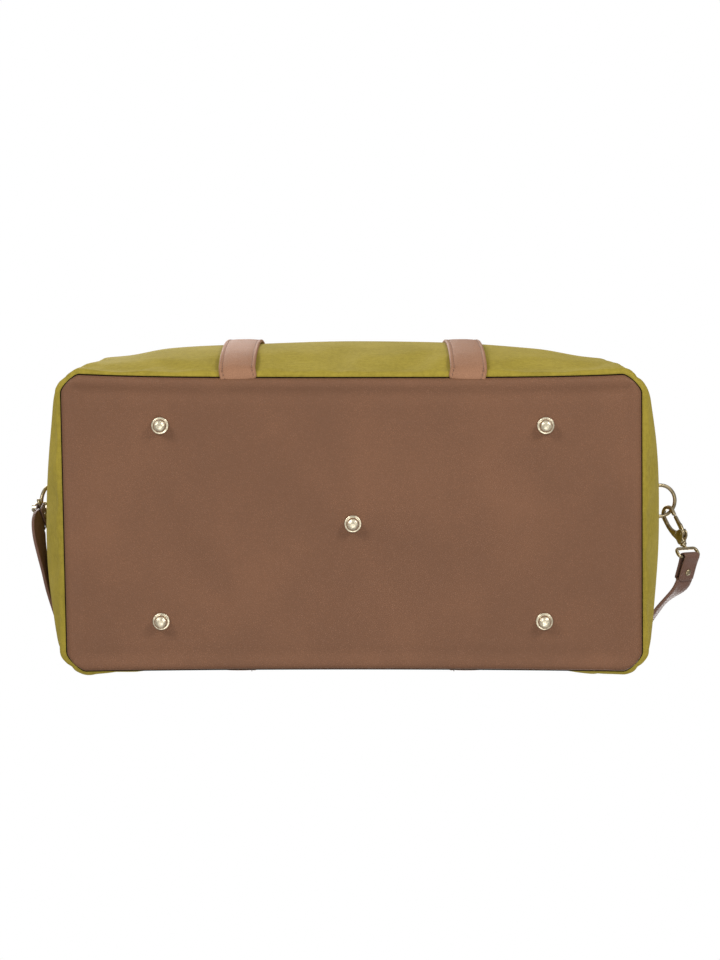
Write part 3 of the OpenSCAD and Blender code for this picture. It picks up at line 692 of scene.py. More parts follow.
def rounded_corner(x, y):
    """Draws a place on the rectangle of the base in towards its rounded corner."""
    reach = sizes().corner_l
    a = (abs(x) - (HALF_L - reach)) / reach
    b = (abs(y) - (HALF_W - reach)) / reach
    if a <= 0 or b <= 0:
        return x, y
    new_x = HALF_L - reach + reach * a * (1 - CORNER_CUT * b ** 1.5)
    new_y = HALF_W - reach + reach * b * (1 - CORNER_CUT * a ** 1.5)
    return math.copysign(new_x, x), math.copysign(new_y, y)


def settled(place):
    """Leans and bows the lowest part of the bag the way its soft base lies."""
    size = sizes()
    fade = ease(max(0.0, 1.0 - max(place.z - SEAM_Z, 0.0) / SETTLED_H))
    across = place.y / HALF_W
    along = place.x / HALF_L
    lean = size.base_skew * across
    front_bow = max(-across, 0.0) * size.base_bow * (0.45 - along ** 4)
    back_bow = max(across, 0.0) * size.base_bow * 0.6 * (along ** 2 - 0.2)
    return Vector((place.x + lean * fade, place.y + (front_bow + back_bow) * fade, place.z))


def graded(count, ends):
    """Shares from 0 to 1 that crowd towards both ends; ends is the crowding, from 0 to 0.45."""
    shares = []
    for k in range(count + 1):
        u = 2 * k / count - 1
        shares.append(0.5 + 0.5 * u * (1 + ends * (1 - u * u)))
    return shares


def wall_outline():
    """The walls' outline: for each place its x and y, its share along its panel and its panel's bulge."""
    size = sizes()
    sides = [(Vector((-1, -1)), Vector((1, -1)), size.front_bulge, size.seam_roll),
             (Vector((1, -1)), Vector((1, 1)), size.end_bulge, size.seam_roll),
             (Vector((1, 1)), Vector((-1, 1)), size.back_bulge, size.seam_roll * 0.7),
             (Vector((-1, 1)), Vector((-1, -1)), size.end_bulge, size.seam_roll)]
    half = Vector((HALF_L, HALF_W))
    outline = []
    for start, stop, bulge, roll in sides:
        length = ((stop - start) * half).length
        for share in graded(round(length / size.cell), 0.3)[:-1]:
            corner = (start.lerp(stop, share)) * half
            outline.append((rounded_corner(corner.x, corner.y), share, bulge, roll))
    return outline


def wall_heights():
    """Heights of the canvas grid's rows, closer together at the seams."""
    rise = TOP_Z - SEAM_Z
    return [SEAM_Z + rise * share for share in graded(round(rise / sizes().cell), 0.36)]


def swell(share, power):
    """How full a panel is at a share of its way from one seam to the next."""
    return 1 - abs(2 * share - 1) ** power


def ease(share):
    """A smooth step from 0 to 1."""
    share = min(share, 1.0)
    return share * share * (3 - 2 * share)


def roll_out(height, radius):
    """Share of the seam's roll that is reached at a height above it."""
    if height >= radius:
        return 1.0
    return math.sqrt(max(0.0, 1 - (1 - height / radius) ** 2))


def wrinkle(x, y, z):
    """Soft unevenness of the canvas at a place: broad dents, and puckers close to the seams."""
    broad = 1.6 * MM * noise.noise(Vector((x * 11, y * 11, z * 8)))
    seam = min(z - SEAM_Z, TOP_Z - z)
    pucker = 1.3 * MM * noise.noise(Vector((x * 55, y * 55, z * 12))) * math.exp(-seam / (22 * MM))
    return (broad + pucker) * roll_out(seam, 14 * MM)


def wall_rows():
    """Rows of places of the canvas walls before the cloth settles."""
    outline = wall_outline()
    rows = []
    for z in wall_heights():
        up = (z - SEAM_Z) / (TOP_Z - SEAM_Z)
        row = []
        for k, ((x, y), share, bulge, roll) in enumerate(outline):
            before = outline[k - 1][0]
            after = outline[(k + 1) % len(outline)][0]
            way = Vector((after[0] - before[0], after[1] - before[1], 0)).normalized()
            out = way.cross(UP)
            if way.x < -0.7:
                roll = sizes().seam_roll * (1.6 * abs(2 * share - 1) ** 2.6 - 0.6)
            push = bulge * swell(share, FULL_ALONG) * swell(up, FULL_UP)
            if way.x > 0.7:
                push *= ease(min(share, 1 - share) / 0.16)
            push += roll * roll_out(z - SEAM_Z, BASE_ROLL_H) * roll_out(TOP_Z - z, TOP_ROLL_H)
            from_corner = min(share, 1 - share) * 2 * (HALF_L if abs(way.x) > 0.7 else HALF_W)
            pinch = math.exp(-(from_corner / PINCH_W) ** 2)
            push -= PINCH * pinch * roll_out(z - SEAM_Z, TOP_ROLL_H)
            push += wrinkle(x, y, z) * (1 - pinch)
            row.append(settled(Vector((x, y, z)) + out * push))
        rows.append(row)
    return rows


def settle_cloth(piece, sewn, limit, shrink, pressure):
    """Lets a piece billow as cloth between its sewn points and keeps what it reached, capped."""
    size = sizes()
    before = [vert.co.copy() for vert in piece.data.vertices]
    group = piece.vertex_groups.new(name="Sewn")
    group.add(sorted(set(sewn)), 1.0, "REPLACE")
    cloth = piece.modifiers.new("Cloth", "CLOTH")
    settings = cloth.settings
    settings.quality = 6
    settings.mass = 0.3
    settings.tension_stiffness = 20
    settings.compression_stiffness = 20
    settings.shear_stiffness = 8
    settings.bending_stiffness = 1.2
    settings.vertex_group_mass = "Sewn"
    settings.shrink_min = shrink
    settings.shrink_max = shrink
    settings.use_pressure = True
    settings.uniform_pressure_force = pressure
    settings.effector_weights.gravity = 0
    cloth.collision_settings.use_collision = False
    cloth.point_cache.frame_start = 1
    cloth.point_cache.frame_end = size.cloth_frames
    scene = bpy.context.scene
    for step in range(1, size.cloth_frames + 1):
        scene.frame_set(step)
    graph = bpy.context.evaluated_depsgraph_get()
    done = piece.evaluated_get(graph).data
    after = [vert.co.copy() for vert in done.vertices]
    piece.modifiers.remove(cloth)
    scene.frame_set(1)
    for vert, start, end in zip(piece.data.vertices, before, after):
        move = end - start
        if move.length > limit:
            move *= limit / move.length
        vert.co = start + move
    piece.data.update()


def canvas_tree():
    """A search tree over the canvas walls as they show."""
    graph = bpy.context.evaluated_depsgraph_get()
    return BVHTree.FromObject(bpy.data.objects["canvas_walls"], graph)


def wall_hit(tree, start, way):
    """Where a line from outside meets the canvas, and the canvas's outward direction there."""
    place, normal, _, _ = tree.ray_cast(start, way)
    if place is None:
        raise RuntimeError("a line aimed at the canvas missed it")
    if normal.dot(way) > 0:
        normal = -normal
    return place, normal


# ---- operators ----

class DUFFEL_OT_stage(bpy.types.Operator):
    """Add the floor, the lights, the pale surroundings and the camera"""

    bl_idname = "duffel.stage"
    bl_label = "Stage"

    def execute(self, context):
        add_floor()
        add_world()
        for name, place, aim, width, power in STUDIO_LIGHTS:
            add_light(name, Vector(place), Vector(aim), width, power)
        add_camera()
        context.scene.view_settings.view_transform = "Standard"
        return {"FINISHED"}


# Soft lights: name, place, aim, width in metres and power in watts
STUDIO_LIGHTS = [
    ("left_softbox", (-1.3, -1.25, -1.05), (0, 0, 0), 0.55, 17.0),
    ("right_softbox", (1.3, -1.25, -1.05), (0, 0, 0), 0.55, 17.0),
    ("low_fill", (0.1, 0.9, -1.9), (0, 0, 0), 1.2, 14.0),
    ("overhead", (-0.6, -0.8, 1.9), (0, 0, 0.15), 1.2, 26.0),
    ("back_overhead", (0.9, 1.2, 1.6), (0, 0, 0.15), 1.2, 18.0),
]
# Strength of the surroundings as a light, and of the floor's own glow
SKY_LIGHT = 0.42
FLOOR_GLOW = 0.4
# The camera looks up at the base from a little in front of it
CAMERA_AIM = Vector((0.0062, -0.038, 0.009))
CAMERA_DISTANCE = 2.0
CAMERA_ELEVATION = math.radians(-85.2)
CAMERA_LENS = 87.0


def add_floor():
    """A pale floor that shows from above only, so that the base can be seen from below."""
    bm = bmesh.new()
    bmesh.ops.create_grid(bm, x_segments=1, y_segments=1, size=40)
    mesh = bpy.data.meshes.new("floor")
    bm.to_mesh(mesh)
    bm.free()
    floor = bpy.data.objects.new("floor", mesh)
    bpy.context.collection.objects.link(floor)
    material = bpy.data.materials.new("Studio floor")
    material.use_nodes = True
    material.node_tree.nodes.clear()
    tree = Tree(material.node_tree)
    tone = list(colours().floor) + [1.0]
    matt = tree.add("ShaderNodeBsdfDiffuse", {"Color": tone})
    glow = tree.add("ShaderNodeEmission", {"Color": tone, "Strength": FLOOR_GLOW})
    seen = tree.add("ShaderNodeAddShader", {0: matt.outputs[0], 1: glow.outputs[0]})
    clear = tree.add("ShaderNodeBsdfTransparent")
    camera_ray = tree.add("ShaderNodeLightPath").outputs["Is Camera Ray"]
    under = tree.add("ShaderNodeNewGeometry").outputs["Backfacing"]
    above = tree.maths("SUBTRACT", 1.0, under)
    shown = tree.maths("MULTIPLY", camera_ray, above)
    surface = tree.add("ShaderNodeMixShader", {0: shown, 1: clear.outputs[0], 2: seen.outputs[0]})
    tree.add("ShaderNodeOutputMaterial", {"Surface": surface.outputs[0]})
    mesh.materials.append(material)


def add_world():
    """White surroundings to the eye, dimmer as a light."""
    world = bpy.data.worlds.new("Studio")
    bpy.context.scene.world = world
    world.use_nodes = True
    world.node_tree.nodes.clear()
    tree = Tree(world.node_tree)
    camera_ray = tree.add("ShaderNodeLightPath").outputs["Is Camera Ray"]
    strength = tree.ramped(camera_ray, 0.0, 1.0, SKY_LIGHT, 1.0)
    sky = tree.add("ShaderNodeBackground", {"Color": (1.0, 1.0, 1.0, 1.0), "Strength": strength})
    tree.add("ShaderNodeOutputWorld", {"Surface": sky.outputs[0]})


def add_light(name, place, aim, width, power):
    """A square soft light."""
    light = bpy.data.lights.new(name, "AREA")
    light.size = width
    light.energy = power
    lamp = bpy.data.objects.new(name, light)
    lamp.location = place
    lamp.rotation_euler = (aim - place).to_track_quat("-Z", "Y").to_euler()
    bpy.context.collection.objects.link(lamp)


def add_camera():
    """The camera under the bag."""
    camera = bpy.data.cameras.new("camera")
    camera.lens = CAMERA_LENS
    seen_from = Vector((0, -math.cos(CAMERA_ELEVATION), math.sin(CAMERA_ELEVATION)))
    eye = bpy.data.objects.new("camera", camera)
    eye.location = CAMERA_AIM + seen_from * CAMERA_DISTANCE
    eye.rotation_euler = (-seen_from).to_track_quat("-Z", "Y").to_euler()
    bpy.context.collection.objects.link(eye)
    bpy.context.scene.camera = eye


class DUFFEL_OT_base(bpy.types.Operator):
    """Add the leather base, the welt in its seam and the board and washers above it"""

    bl_idname = "duffel.base"
    bl_label = "Base"

    def execute(self, context):
        add_base_leather()
        add_seam_shade_welt()
        dress_node("base_board", "Fibreboard")
        dress_node("foot_washers", "Pale brass")
        return {"FINISHED"}


def dress_node(node, material):
    """Gives a carried-over CAD node its finished material."""
    piece = frame["nodes"][node]
    piece.data.materials.clear()
    piece.data.materials.append(material_named(material))


# Soft folds of the base leather: middle x and y, direction in degrees, length, width and height
BASE_FOLDS = [
    (-0.150, 0.010, 60, 0.110, 0.016, -0.5 * MM), (-0.128, 0.016, 60, 0.100, 0.016, 0.5 * MM),
    (-0.205, -0.098, 25, 0.050, 0.012, -0.6 * MM), (-0.118, -0.108, 80, 0.030, 0.014, 0.7 * MM),
    (-0.060, -0.110, 95, 0.028, 0.018, -0.5 * MM), (0.130, -0.106, 75, 0.035, 0.016, 0.6 * MM),
    (0.205, -0.085, -40, 0.050, 0.014, -0.6 * MM), (0.060, -0.020, 10, 0.120, 0.040, 0.5 * MM),
    (0.000, -0.060, 5, 0.150, 0.030, -0.4 * MM), (-0.215, 0.060, 90, 0.060, 0.015, -0.3 * MM),
    (0.222, 0.040, 90, 0.080, 0.013, 0.4 * MM), (0.100, 0.085, 8, 0.120, 0.024, 0.3 * MM),
]


def fold_height(x, y):
    """Height of the base leather's soft folds at a place; outward, which is down, is positive."""
    total = 0.0
    for middle_x, middle_y, turn, length, width, height in BASE_FOLDS:
        angle = math.radians(turn)
        dx, dy = x - middle_x, y - middle_y
        along = dx * math.cos(angle) + dy * math.sin(angle)
        across = dy * math.cos(angle) - dx * math.sin(angle)
        total += height * math.exp(-(along / length) ** 2 - (across / width) ** 2)
    return total + 0.5 * MM * noise.noise(Vector((x * 14, y * 22, 0.3)))


def add_base_leather():
    """The base: leather over a board, puffed along its rim and turned up into the seam."""
    size = sizes()
    bm = bmesh.new()
    cells_x, cells_y = 150, 84
    bmesh.ops.create_grid(bm, x_segments=cells_x, y_segments=cells_y, size=1)
    for vert in bm.verts:
        u, v = vert.co.x, vert.co.y
        x = HALF_L * u * (1 + 0.34 * (1 - u * u))
        y = HALF_W * v * (1 + 0.34 * (1 - v * v))
        edge = min(HALF_L - abs(x), HALF_W - abs(y))
        turn = 0.0
        if edge < size.base_roll:
            turn = size.base_roll - math.sqrt(size.base_roll ** 2 - (size.base_roll - edge) ** 2)
        front = 1.5 if HALF_W + y == edge else 1.0
        puff = 0.7 * MM * front * math.exp(-((edge - 6 * MM) / (4 * MM)) ** 2)
        valley = 0.6 * MM * front * math.exp(-((edge - 15 * MM) / (5 * MM)) ** 2)
        inland = min(edge / (12 * MM), 1.0)
        z = BASE_LOW.z + turn - puff + valley - fold_height(x, y) * inland
        x, y = rounded_corner(x, y)
        vert.co = settled(Vector((x, y, z)))
    flat_pattern(bm)
    turn_faces(bm, down=True)
    piece = finish_piece("base_leather", bm, "Base leather", "bag", ["base_panel"],
                         fix_normals=False)
    thickened(piece, 1.6 * MM)


def base_outline(inset, cell=4 * MM):
    """The base's outline, drawn in by an inset and settled, at the seam's height."""
    outline = []
    corners = [(-1, -1), (1, -1), (1, 1), (-1, 1)]
    for (ax, ay), (bx, by) in zip(corners, corners[1:] + corners[:1]):
        length = 2 * (HALF_L if ax != bx else HALF_W)
        for share in graded(round(length / cell), 0.3)[:-1]:
            x = HALF_L * (ax + (bx - ax) * share)
            y = HALF_W * (ay + (by - ay) * share)
            outline.append(Vector((*rounded_corner(x, y), 0)))
    inner = []
    for k, place in enumerate(outline):
        way = (outline[(k + 1) % len(outline)] - outline[k - 1]).normalized()
        inner.append(place - way.cross(UP) * inset)
    return inner


def add_seam_shade_welt():
    """A thin welt that closes the seam between the leather and the canvas, coloured near-black as painted
    shade of the seam's groove.
    """
    bm = bmesh.new()
    path = [settled(Vector((p.x, p.y, SEAM_Z + 0.6 * MM))) for p in base_outline(0.5 * MM)]
    closed_wire(bm, path, UP, 1.3 * MM, 10)
    finish_piece("base_seam_shade_welt", bm, "Welt leather, painted seam shade", "bag", ["base_welt"])


class DUFFEL_OT_feet(bpy.types.Operator):
    """Add the five domed brass feet"""

    bl_idname = "duffel.feet"
    bl_label = "Feet"

    def execute(self, context):
        low, high = corners_of("feet")
        radius = 7.5 * MM
        span_x, span_y = high.x - radius, high.y - radius
        flange, groove = 1.7 * MM, 1.0 * MM
        top = BASE_LOW.z
        dome = radius - 1.75 * MM
        bm = bmesh.new()
        profile = [(0, low.z), (2 * MM, low.z + 0.05 * MM), (dome * 0.55, low.z + 0.45 * MM),
                   (dome * 0.78, low.z + 1.3 * MM), (dome * 0.93, low.z + 2.6 * MM), (dome, low.z + 4.2 * MM),
                   (dome, top - flange - groove), (dome - 0.35 * MM, top - flange - 0.35 * MM),
                   (dome + 0.1 * MM, top - flange + 0.12 * MM), (radius - 0.7 * MM, top - flange),
                   (radius - 0.15 * MM, top - flange + 0.35 * MM), (radius, top - flange / 2),
                   (radius - 0.25 * MM, top - 0.15 * MM), (0, top)]
        for x, y in [(0, 0), (-1, -1), (1, -1), (1, 1), (-1, 1)]:
            turn = Matrix.Rotation(0.7 * x + 1.9 * y, 4, "Z")
            lathe(bm, profile, Matrix.Translation((span_x * x, span_y * y, 0)) @ turn, steps=44)
        finish_piece("domed_feet", bm, "Pale brass", "bag", ["feet"])
        return {"FINISHED"}


class DUFFEL_OT_walls(bpy.types.Operator):
    """Add the padded canvas walls, billowed by a cloth simulation"""

    bl_idname = "duffel.walls"
    bl_label = "Canvas walls"

    def execute(self, context):
        size = sizes()
        rows = wall_rows()
        bm = bmesh.new()
        made = loft(bm, rows, caps=False)
        along = line_lengths(rows[0] + rows[0][:1])
        lay_pattern(bm, made, along, wall_heights())
        bmesh.ops.recalc_face_normals(bm, faces=bm.faces)
        bm.verts.index_update()
        corners = [j for j, (_, share, _, _) in enumerate(wall_outline()) if share == 0]
        seams = made[:2] + made[-2:]
        sewn = [vert.index for row in seams for vert in row]
        sewn += [row[j].index for row in made for j in corners]
        piece = finish_piece("canvas_walls", bm, "Brushed canvas", None,
                             ["front_panel", "back_panel", "left_end_panel", "right_end_panel"],
                             fix_normals=False)
        settle_cloth(piece, sewn, limit=2.5 * MM, shrink=-0.012, pressure=0.8)
        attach(piece, "bag")
        thickened(piece, size.canvas_t)
        subdivided(piece)
        return {"FINISHED"}


class DUFFEL_OT_lining(bpy.types.Operator):
    """Add the lining inside the walls"""

    bl_idname = "duffel.lining"
    bl_label = "Lining"

    def execute(self, context):
        low, high = corners_of("lining")
        ring = base_outline(6 * MM, 12 * MM)
        levels = 24
        bm = bmesh.new()
        rows = []
        for level in range(levels + 1):
            up = level / levels
            z = low.z + (high.z - low.z) * up
            row = []
            for k, place in enumerate(ring):
                before, after = ring[k - 1], ring[(k + 1) % len(ring)]
                out = (after - before).normalized().cross(UP)
                fall = noise.noise(Vector((place.x * 26, place.y * 26, z * 7))) * 2.2 * MM
                loose = fall * swell(up, 3)
                row.append(Vector((place.x, place.y, z)) + out * loose)
            rows.append(row)
        middle = Vector((0, 0, low.z))
        ground = [[middle + (place - middle) * share for place in rows[0]] for share in (0.3, 0.7, 0.93)]
        made = loft(bm, ground + rows, caps=False)
        bm.faces.new(made[0])
        flat_pattern(bm)
        bmesh.ops.recalc_face_normals(bm, faces=bm.faces)
        bmesh.ops.reverse_faces(bm, faces=bm.faces)
        piece = finish_piece("lining_bag", bm, "Lining cotton", "bag", ["lining"],
                             fix_normals=False)
        thickened(piece, 0.8 * MM)
        subdivided(piece)
        return {"FINISHED"}


class DUFFEL_OT_top(bpy.types.Operator):
    """Add the piping, the end bands and the two hinged flaps of the top"""

    bl_idname = "duffel.top"
    bl_label = "Top"

    def execute(self, context):
        add_piping()
        for side, name in ((-1, "left"), (1, "right")):
            add_band(side, name)
        for side, name in ((-1, "front"), (1, "back")):
            add_flap(side, name)
        return {"FINISHED"}


def add_piping():
    """Canvas piping round the top edge of the walls."""
    radius = sizes().piping_d / 2
    z = TOP_Z - radius - 0.3 * MM
    bm = bmesh.new()
    ring = [Vector((p.x, p.y, z)) for p in base_outline(-radius - 0.1 * MM, 6 * MM)]
    closed_wire(bm, ring, UP, radius, 12)
    flat_pattern(bm)
    finish_piece("top_piping", bm, "Brushed canvas", "bag")


def add_band(side, name):
    """The fixed canvas band across one end of the top, cut round the end of the zip."""
    slot_y = TAPE_LOW.y - 0.2 * MM
    stop_x = STOP_HIGH.x + 0.3 * MM
    start = BAND_LOW.x
    reach = sizes().corner_l
    outline = [(start, slot_y), (start, -HALF_W)]
    steps = 8
    for k in range(steps + 1):
        outline.append(rounded_corner(HALF_L - reach * (1 - k / steps), -HALF_W))
    for k in range(1, steps + 1):
        outline.append(rounded_corner(HALF_L, -HALF_W + reach * k / steps))
    mirrored = [(x, -y) for x, y in reversed(outline)]
    outline = outline + mirrored + [(stop_x, -slot_y), (stop_x, slot_y)]
    middle = Matrix.Translation((0, 0, (BAND_LOW.z + BAND_HIGH.z) / 2))
    bm = bmesh.new()
    plate(bm, outline, BAND_HIGH.z - BAND_LOW.z, middle, 1.1 * MM)
    if side < 0:
        bmesh.ops.scale(bm, vec=(-1, 1, 1), verts=bm.verts)
    bmesh.ops.triangulate(bm, faces=[f for f in bm.faces if len(f.verts) > 4])
    flat_pattern(bm)
    finish_piece(name + "_band_canvas", bm, "Brushed canvas", "bag", [name + "_top_band"],
                 crease=50)
    bm = bmesh.new()
    z = BAND_HIGH.z + 0.05 * MM
    for x in (start + 4 * MM, start + 9 * MM):
        for y0, y1 in ((-HALF_W + 6 * MM, slot_y - 3 * MM), (-slot_y + 3 * MM, HALF_W - 6 * MM)):
            line = [Vector((side * x, y0, z)), Vector((side * x, y1, z))]
            add_stitches(bm, line, [UP, UP])
    finish_piece(name + "_band_stitches", bm, "Green thread", "bag")


def add_flap(side, name):
    """One hinged flap of the top: canvas with a hem along the zip, and its stitches."""
    low, high = corners_of(name + "_flap")
    length = high.x - low.x
    width = high.y - low.y
    bm = bmesh.new()
    bmesh.ops.create_grid(bm, x_segments=72, y_segments=26, size=1)
    for vert in bm.verts:
        u, v = vert.co.x, vert.co.y
        x = length / 2 * u * (1 + 0.3 * (1 - u * u))
        y = width / 2 * v * (1 + 0.3 * (1 - v * v))
        edge = min(length / 2 - abs(x), width / 2 - abs(y))
        zip_side = width / 2 - y * -side
        drop = 1.3 * MM * (1 - roll_out(edge, 2 * MM))
        hem = 0.5 * MM * (1 - roll_out(max(zip_side - 11 * MM, 0.0), 2 * MM))
        pad = 1.2 * MM * swell((x + length / 2) / length, 2.6) * swell((y + width / 2) / width, 2.6)
        soft = 0.5 * MM * noise.noise(Vector((x * 18, y * 30, side)))
        z = high.z - 1.2 * MM - drop + hem + pad + soft * min(edge / 0.02, 1.0)
        vert.co = Vector((x, (low.y + high.y) / 2 + y, z))
    flat_pattern(bm)
    turn_faces(bm)
    body = name + "_flap"
    piece = finish_piece(name + "_flap_canvas", bm, "Brushed canvas", body, [name + "_flap"],
                         fix_normals=False)
    thickened(piece, 1.5 * MM)
    bm = bmesh.new()
    tree = BVHTree.FromObject(piece, bpy.context.evaluated_depsgraph_get())
    inner = high.y if side < 0 else low.y
    for inset in (2.5 * MM, 9 * MM):
        y = inner + side * inset
        line = []
        for k in range(61):
            x = low.x + 4 * MM + (length - 8 * MM) * k / 60
            place, _, _, _ = tree.ray_cast(Vector((x, y, high.z + 0.05)), -UP)
            line.append(place + UP * 0.1 * MM)
        add_stitches(bm, line, [UP] * len(line))
    finish_piece(name + "_flap_stitches", bm, "Green thread", body)


class DUFFEL_OT_zip(bpy.types.Operator):
    """Add the zip's tapes, teeth, stops, slider and pull"""

    bl_idname = "duffel.zip"
    bl_label = "Zip"

    def execute(self, context):
        for side, name in ((-1, "front"), (1, "back")):
            body = name + "_flap"
            add_tape(name + "_tape", side, TAPE_LOW.x, TAPE_HIGH.x, body, [name + "_zip_tape"])
            add_teeth(name + "_teeth", [side], TEETH_LOW.x, TEETH_HIGH.x, body, [name + "_zip_teeth"])
        for side, name in ((-1, "left"), (1, "right")):
            near, far = STOP_LOW.x, STOP_HIGH.x
            for edge, part in ((-1, "front"), (1, "back")):
                ends = sorted((side * near, side * far))
                add_tape(f"{name}_{part}_tape_end", edge, ends[0], ends[1], "bag", [name + "_zip_end"])
            ends = sorted((side * near, side * (far - 4 * MM)))
            add_teeth(name + "_end_teeth", [-1, 1], ends[0], ends[1], "bag", [name + "_zip_end"])
            add_stop(name + "_zip_stop", side)
        add_slider()
        add_pull()
        return {"FINISHED"}


def add_tape(name, side, start, stop, body, nodes):
    """A woven tape along one side of the zip."""
    inner = abs(TAPE_HIGH.y)
    outer = abs(TAPE_LOW.y)
    bm = bmesh.new()
    cells = max(2, round((stop - start) / (8 * MM)))
    rows = []
    for y in (outer + 3 * MM * (body != "bag"), outer * 0.6, inner + 0.6 * MM, inner):
        lift = 0.25 * MM if y < inner + 1 * MM else 0.0
        z = TAPE_HIGH.z - 0.3 * MM + lift - (0.5 * MM if y > outer else 0.0)
        rows.append([Vector((start + (stop - start) * k / cells, side * y, z)) for k in range(cells + 1)])
    loft(bm, rows, closed=False)
    flat_pattern(bm)
    turn_faces(bm)
    piece = finish_piece(name, bm, "Zip tape", body, nodes, fix_normals=False)
    thickened(piece, 0.5 * MM)


def add_teeth(name, edges, start, stop, body, nodes):
    """A row of moulded teeth along each given edge of the zip."""
    pitch = sizes().tooth_pitch
    thick = TEETH_HIGH.z - TEETH_LOW.z
    middle = (TEETH_LOW.z + TEETH_HIGH.z) / 2
    bm = bmesh.new()
    for side in edges:
        offset = 0.0 if side < 0 else pitch / 2
        first = math.ceil((start + 1 * MM - offset) / pitch)
        last = math.floor((stop - 1 * MM - offset) / pitch)
        for n in range(first, last + 1):
            x = n * pitch + offset
            y = side * (abs(TEETH_LOW.y) + abs(TEETH_HIGH.y)) / 2
            grow = Matrix.Diagonal((pitch * 0.52, TEETH_HIGH.y - TEETH_LOW.y - 0.1 * MM, thick, 1))
            cube = bmesh.ops.create_cube(bm, size=1, matrix=Matrix.Translation((x, y, middle)) @ grow)
            for vert in cube["verts"]:
                if abs(vert.co.y) < abs(y):
                    vert.co.x = x + (vert.co.x - x) * 0.72
                    vert.co.z = middle + (vert.co.z - middle) * 0.8
    rounded_edges(bm, bm.edges, 0.22 * MM, 1)
    finish_piece(name, bm, "Antique brass", body, nodes, smooth=False)


def add_stop(name, side):
    """A pinched metal stop across the end of the zip."""
    bm = bmesh.new()
    x = side * (STOP_HIGH.x - 1.6 * MM)
    z = (STOP_LOW.z + STOP_HIGH.z) / 2
    grow = Matrix.Diagonal((2.6 * MM, 2 * abs(TEETH_LOW.y), STOP_HIGH.z - STOP_LOW.z, 1))
    bmesh.ops.create_cube(bm, size=1, matrix=Matrix.Translation((x, 0, z)) @ grow)
    rounded_edges(bm, bm.edges, 0.7 * MM)
    finish_piece(name, bm, "Antique brass", "bag")


def rounded_bar(half_x, half_y, corner, steps=5):
    """An outline with rounded corners, centred on the origin."""
    outline = []
    for turn, sx, sy in ((0, 1, 1), (90, -1, 1), (180, -1, -1), (270, 1, -1)):
        for k in range(steps + 1):
            angle = math.radians(turn + 90 * k / steps)
            outline.append((sx * (half_x - corner) + corner * math.cos(angle),
                            sy * (half_y - corner) + corner * math.sin(angle)))
    return outline


def add_slider():
    """The zip slider: two plates joined by a post, and the bridge that holds the pull."""
    middle_x = (SLIDER_LOW.x + SLIDER_HIGH.x) / 2
    half_x = (SLIDER_HIGH.x - SLIDER_LOW.x) / 2
    half_y = (SLIDER_HIGH.y - SLIDER_LOW.y) / 2
    plate_t = 1.6 * MM
    bridge = joint_place("zip_pull_flip")
    deck = bridge.z - 1.1 * MM
    bm = bmesh.new()
    nose = [(half_x * 0.98, -half_y * 0.55), (half_x * 0.98, half_y * 0.55), (half_x * 0.2, half_y),
            (-half_x * 0.75, half_y), (-half_x, half_y * 0.6), (-half_x, -half_y * 0.6),
            (-half_x * 0.75, -half_y), (half_x * 0.2, -half_y)]
    for z in (SLIDER_LOW.z + plate_t / 2, deck - plate_t / 2):
        plate(bm, nose, plate_t, Matrix.Translation((middle_x, 0, z)), 0.5 * MM)
    post_h = deck - SLIDER_LOW.z - plate_t
    post = Matrix.Translation((SLIDER_LOW.x + 3 * MM, 0, SLIDER_LOW.z + plate_t / 2 + post_h / 2))
    plate(bm, rounded_bar(2 * MM, 0.3 * MM, 0.25 * MM, 2), post_h, post, 0.05 * MM, 1)
    arch = arc_points(Vector((bridge.x, 0, deck - 0.1 * MM)), Vector((1, 0, 0)), UP, 3.3 * MM, 0, 180, 14)
    open_wire(bm, arch, 0.75 * MM, ACROSS, 12)
    finish_piece("slider_body", bm, "Antique brass", "zip_slider", ["zip_slider"], crease=40)


def add_pull():
    """The slider's pull: a flat tongue with an eye, a waist and a rounded rim."""
    low, high = corners_of("zip_pull")
    length = high.x - low.x
    half_y = (high.y - low.y) / 2
    bm = bmesh.new()
    steps = 10
    outline = []
    for k in range(steps + 1):
        angle = math.radians(-90 + 180 * k / steps)
        outline.append((high.x - half_y + half_y * math.cos(angle), half_y * math.sin(angle)))
    outline += [(low.x + length * 0.45, half_y * 0.9), (low.x + length * 0.3, half_y * 0.62),
                (low.x + 1 * MM, half_y * 0.6), (low.x, half_y * 0.4)]
    outline += [(x, -y) for x, y in reversed(outline[-4:])]
    middle = (low.z + high.z) / 2
    plate(bm, outline, (high.z - low.z) * 0.94, Matrix.Translation((0, 0, middle)), 0.3 * MM, 2)
    eye_near, eye_l, eye_w = 0.7 * MM, 4.5 * MM, 2.4 * MM
    cutter_mesh = bpy.data.meshes.new("eye")
    cut = bmesh.new()
    centre = Matrix.Translation((low.x + eye_near + eye_l / 2, 0, middle))
    plate(cut, rounded_bar(eye_l / 2, eye_w / 2, 0.8 * MM, 4), 4 * MM, centre, 0.01 * MM, 1)
    cut.to_mesh(cutter_mesh)
    cut.free()
    piece = finish_piece("slider_pull", bm, "Antique brass", None, ["zip_pull"])
    cutter = bpy.data.objects.new("eye", cutter_mesh)
    bpy.context.collection.objects.link(cutter)
    hole = piece.modifiers.new("Eye", "BOOLEAN")
    hole.object = cutter
    hole.solver = "EXACT"
    graph = bpy.context.evaluated_depsgraph_get()
    pierced = bpy.data.meshes.new_from_object(piece.evaluated_get(graph))
    piece.modifiers.clear()
    piece.data = pierced
    bpy.data.objects.remove(cutter)
    pierced.set_sharp_from_angle(angle=math.radians(40))
    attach(piece, "zip_pull")


class DUFFEL_OT_handles(bpy.types.Operator):
    """Add the handle straps, each one piece of leather from seam to seam, with grips and stitches"""

    bl_idname = "duffel.handles"
    bl_label = "Handles"

    def execute(self, context):
        tree = canvas_tree()
        for side, name in ((-1, "front"), (1, "back")):
            add_handle(tree, side, name)
            add_grip(name)
        return {"FINISHED"}


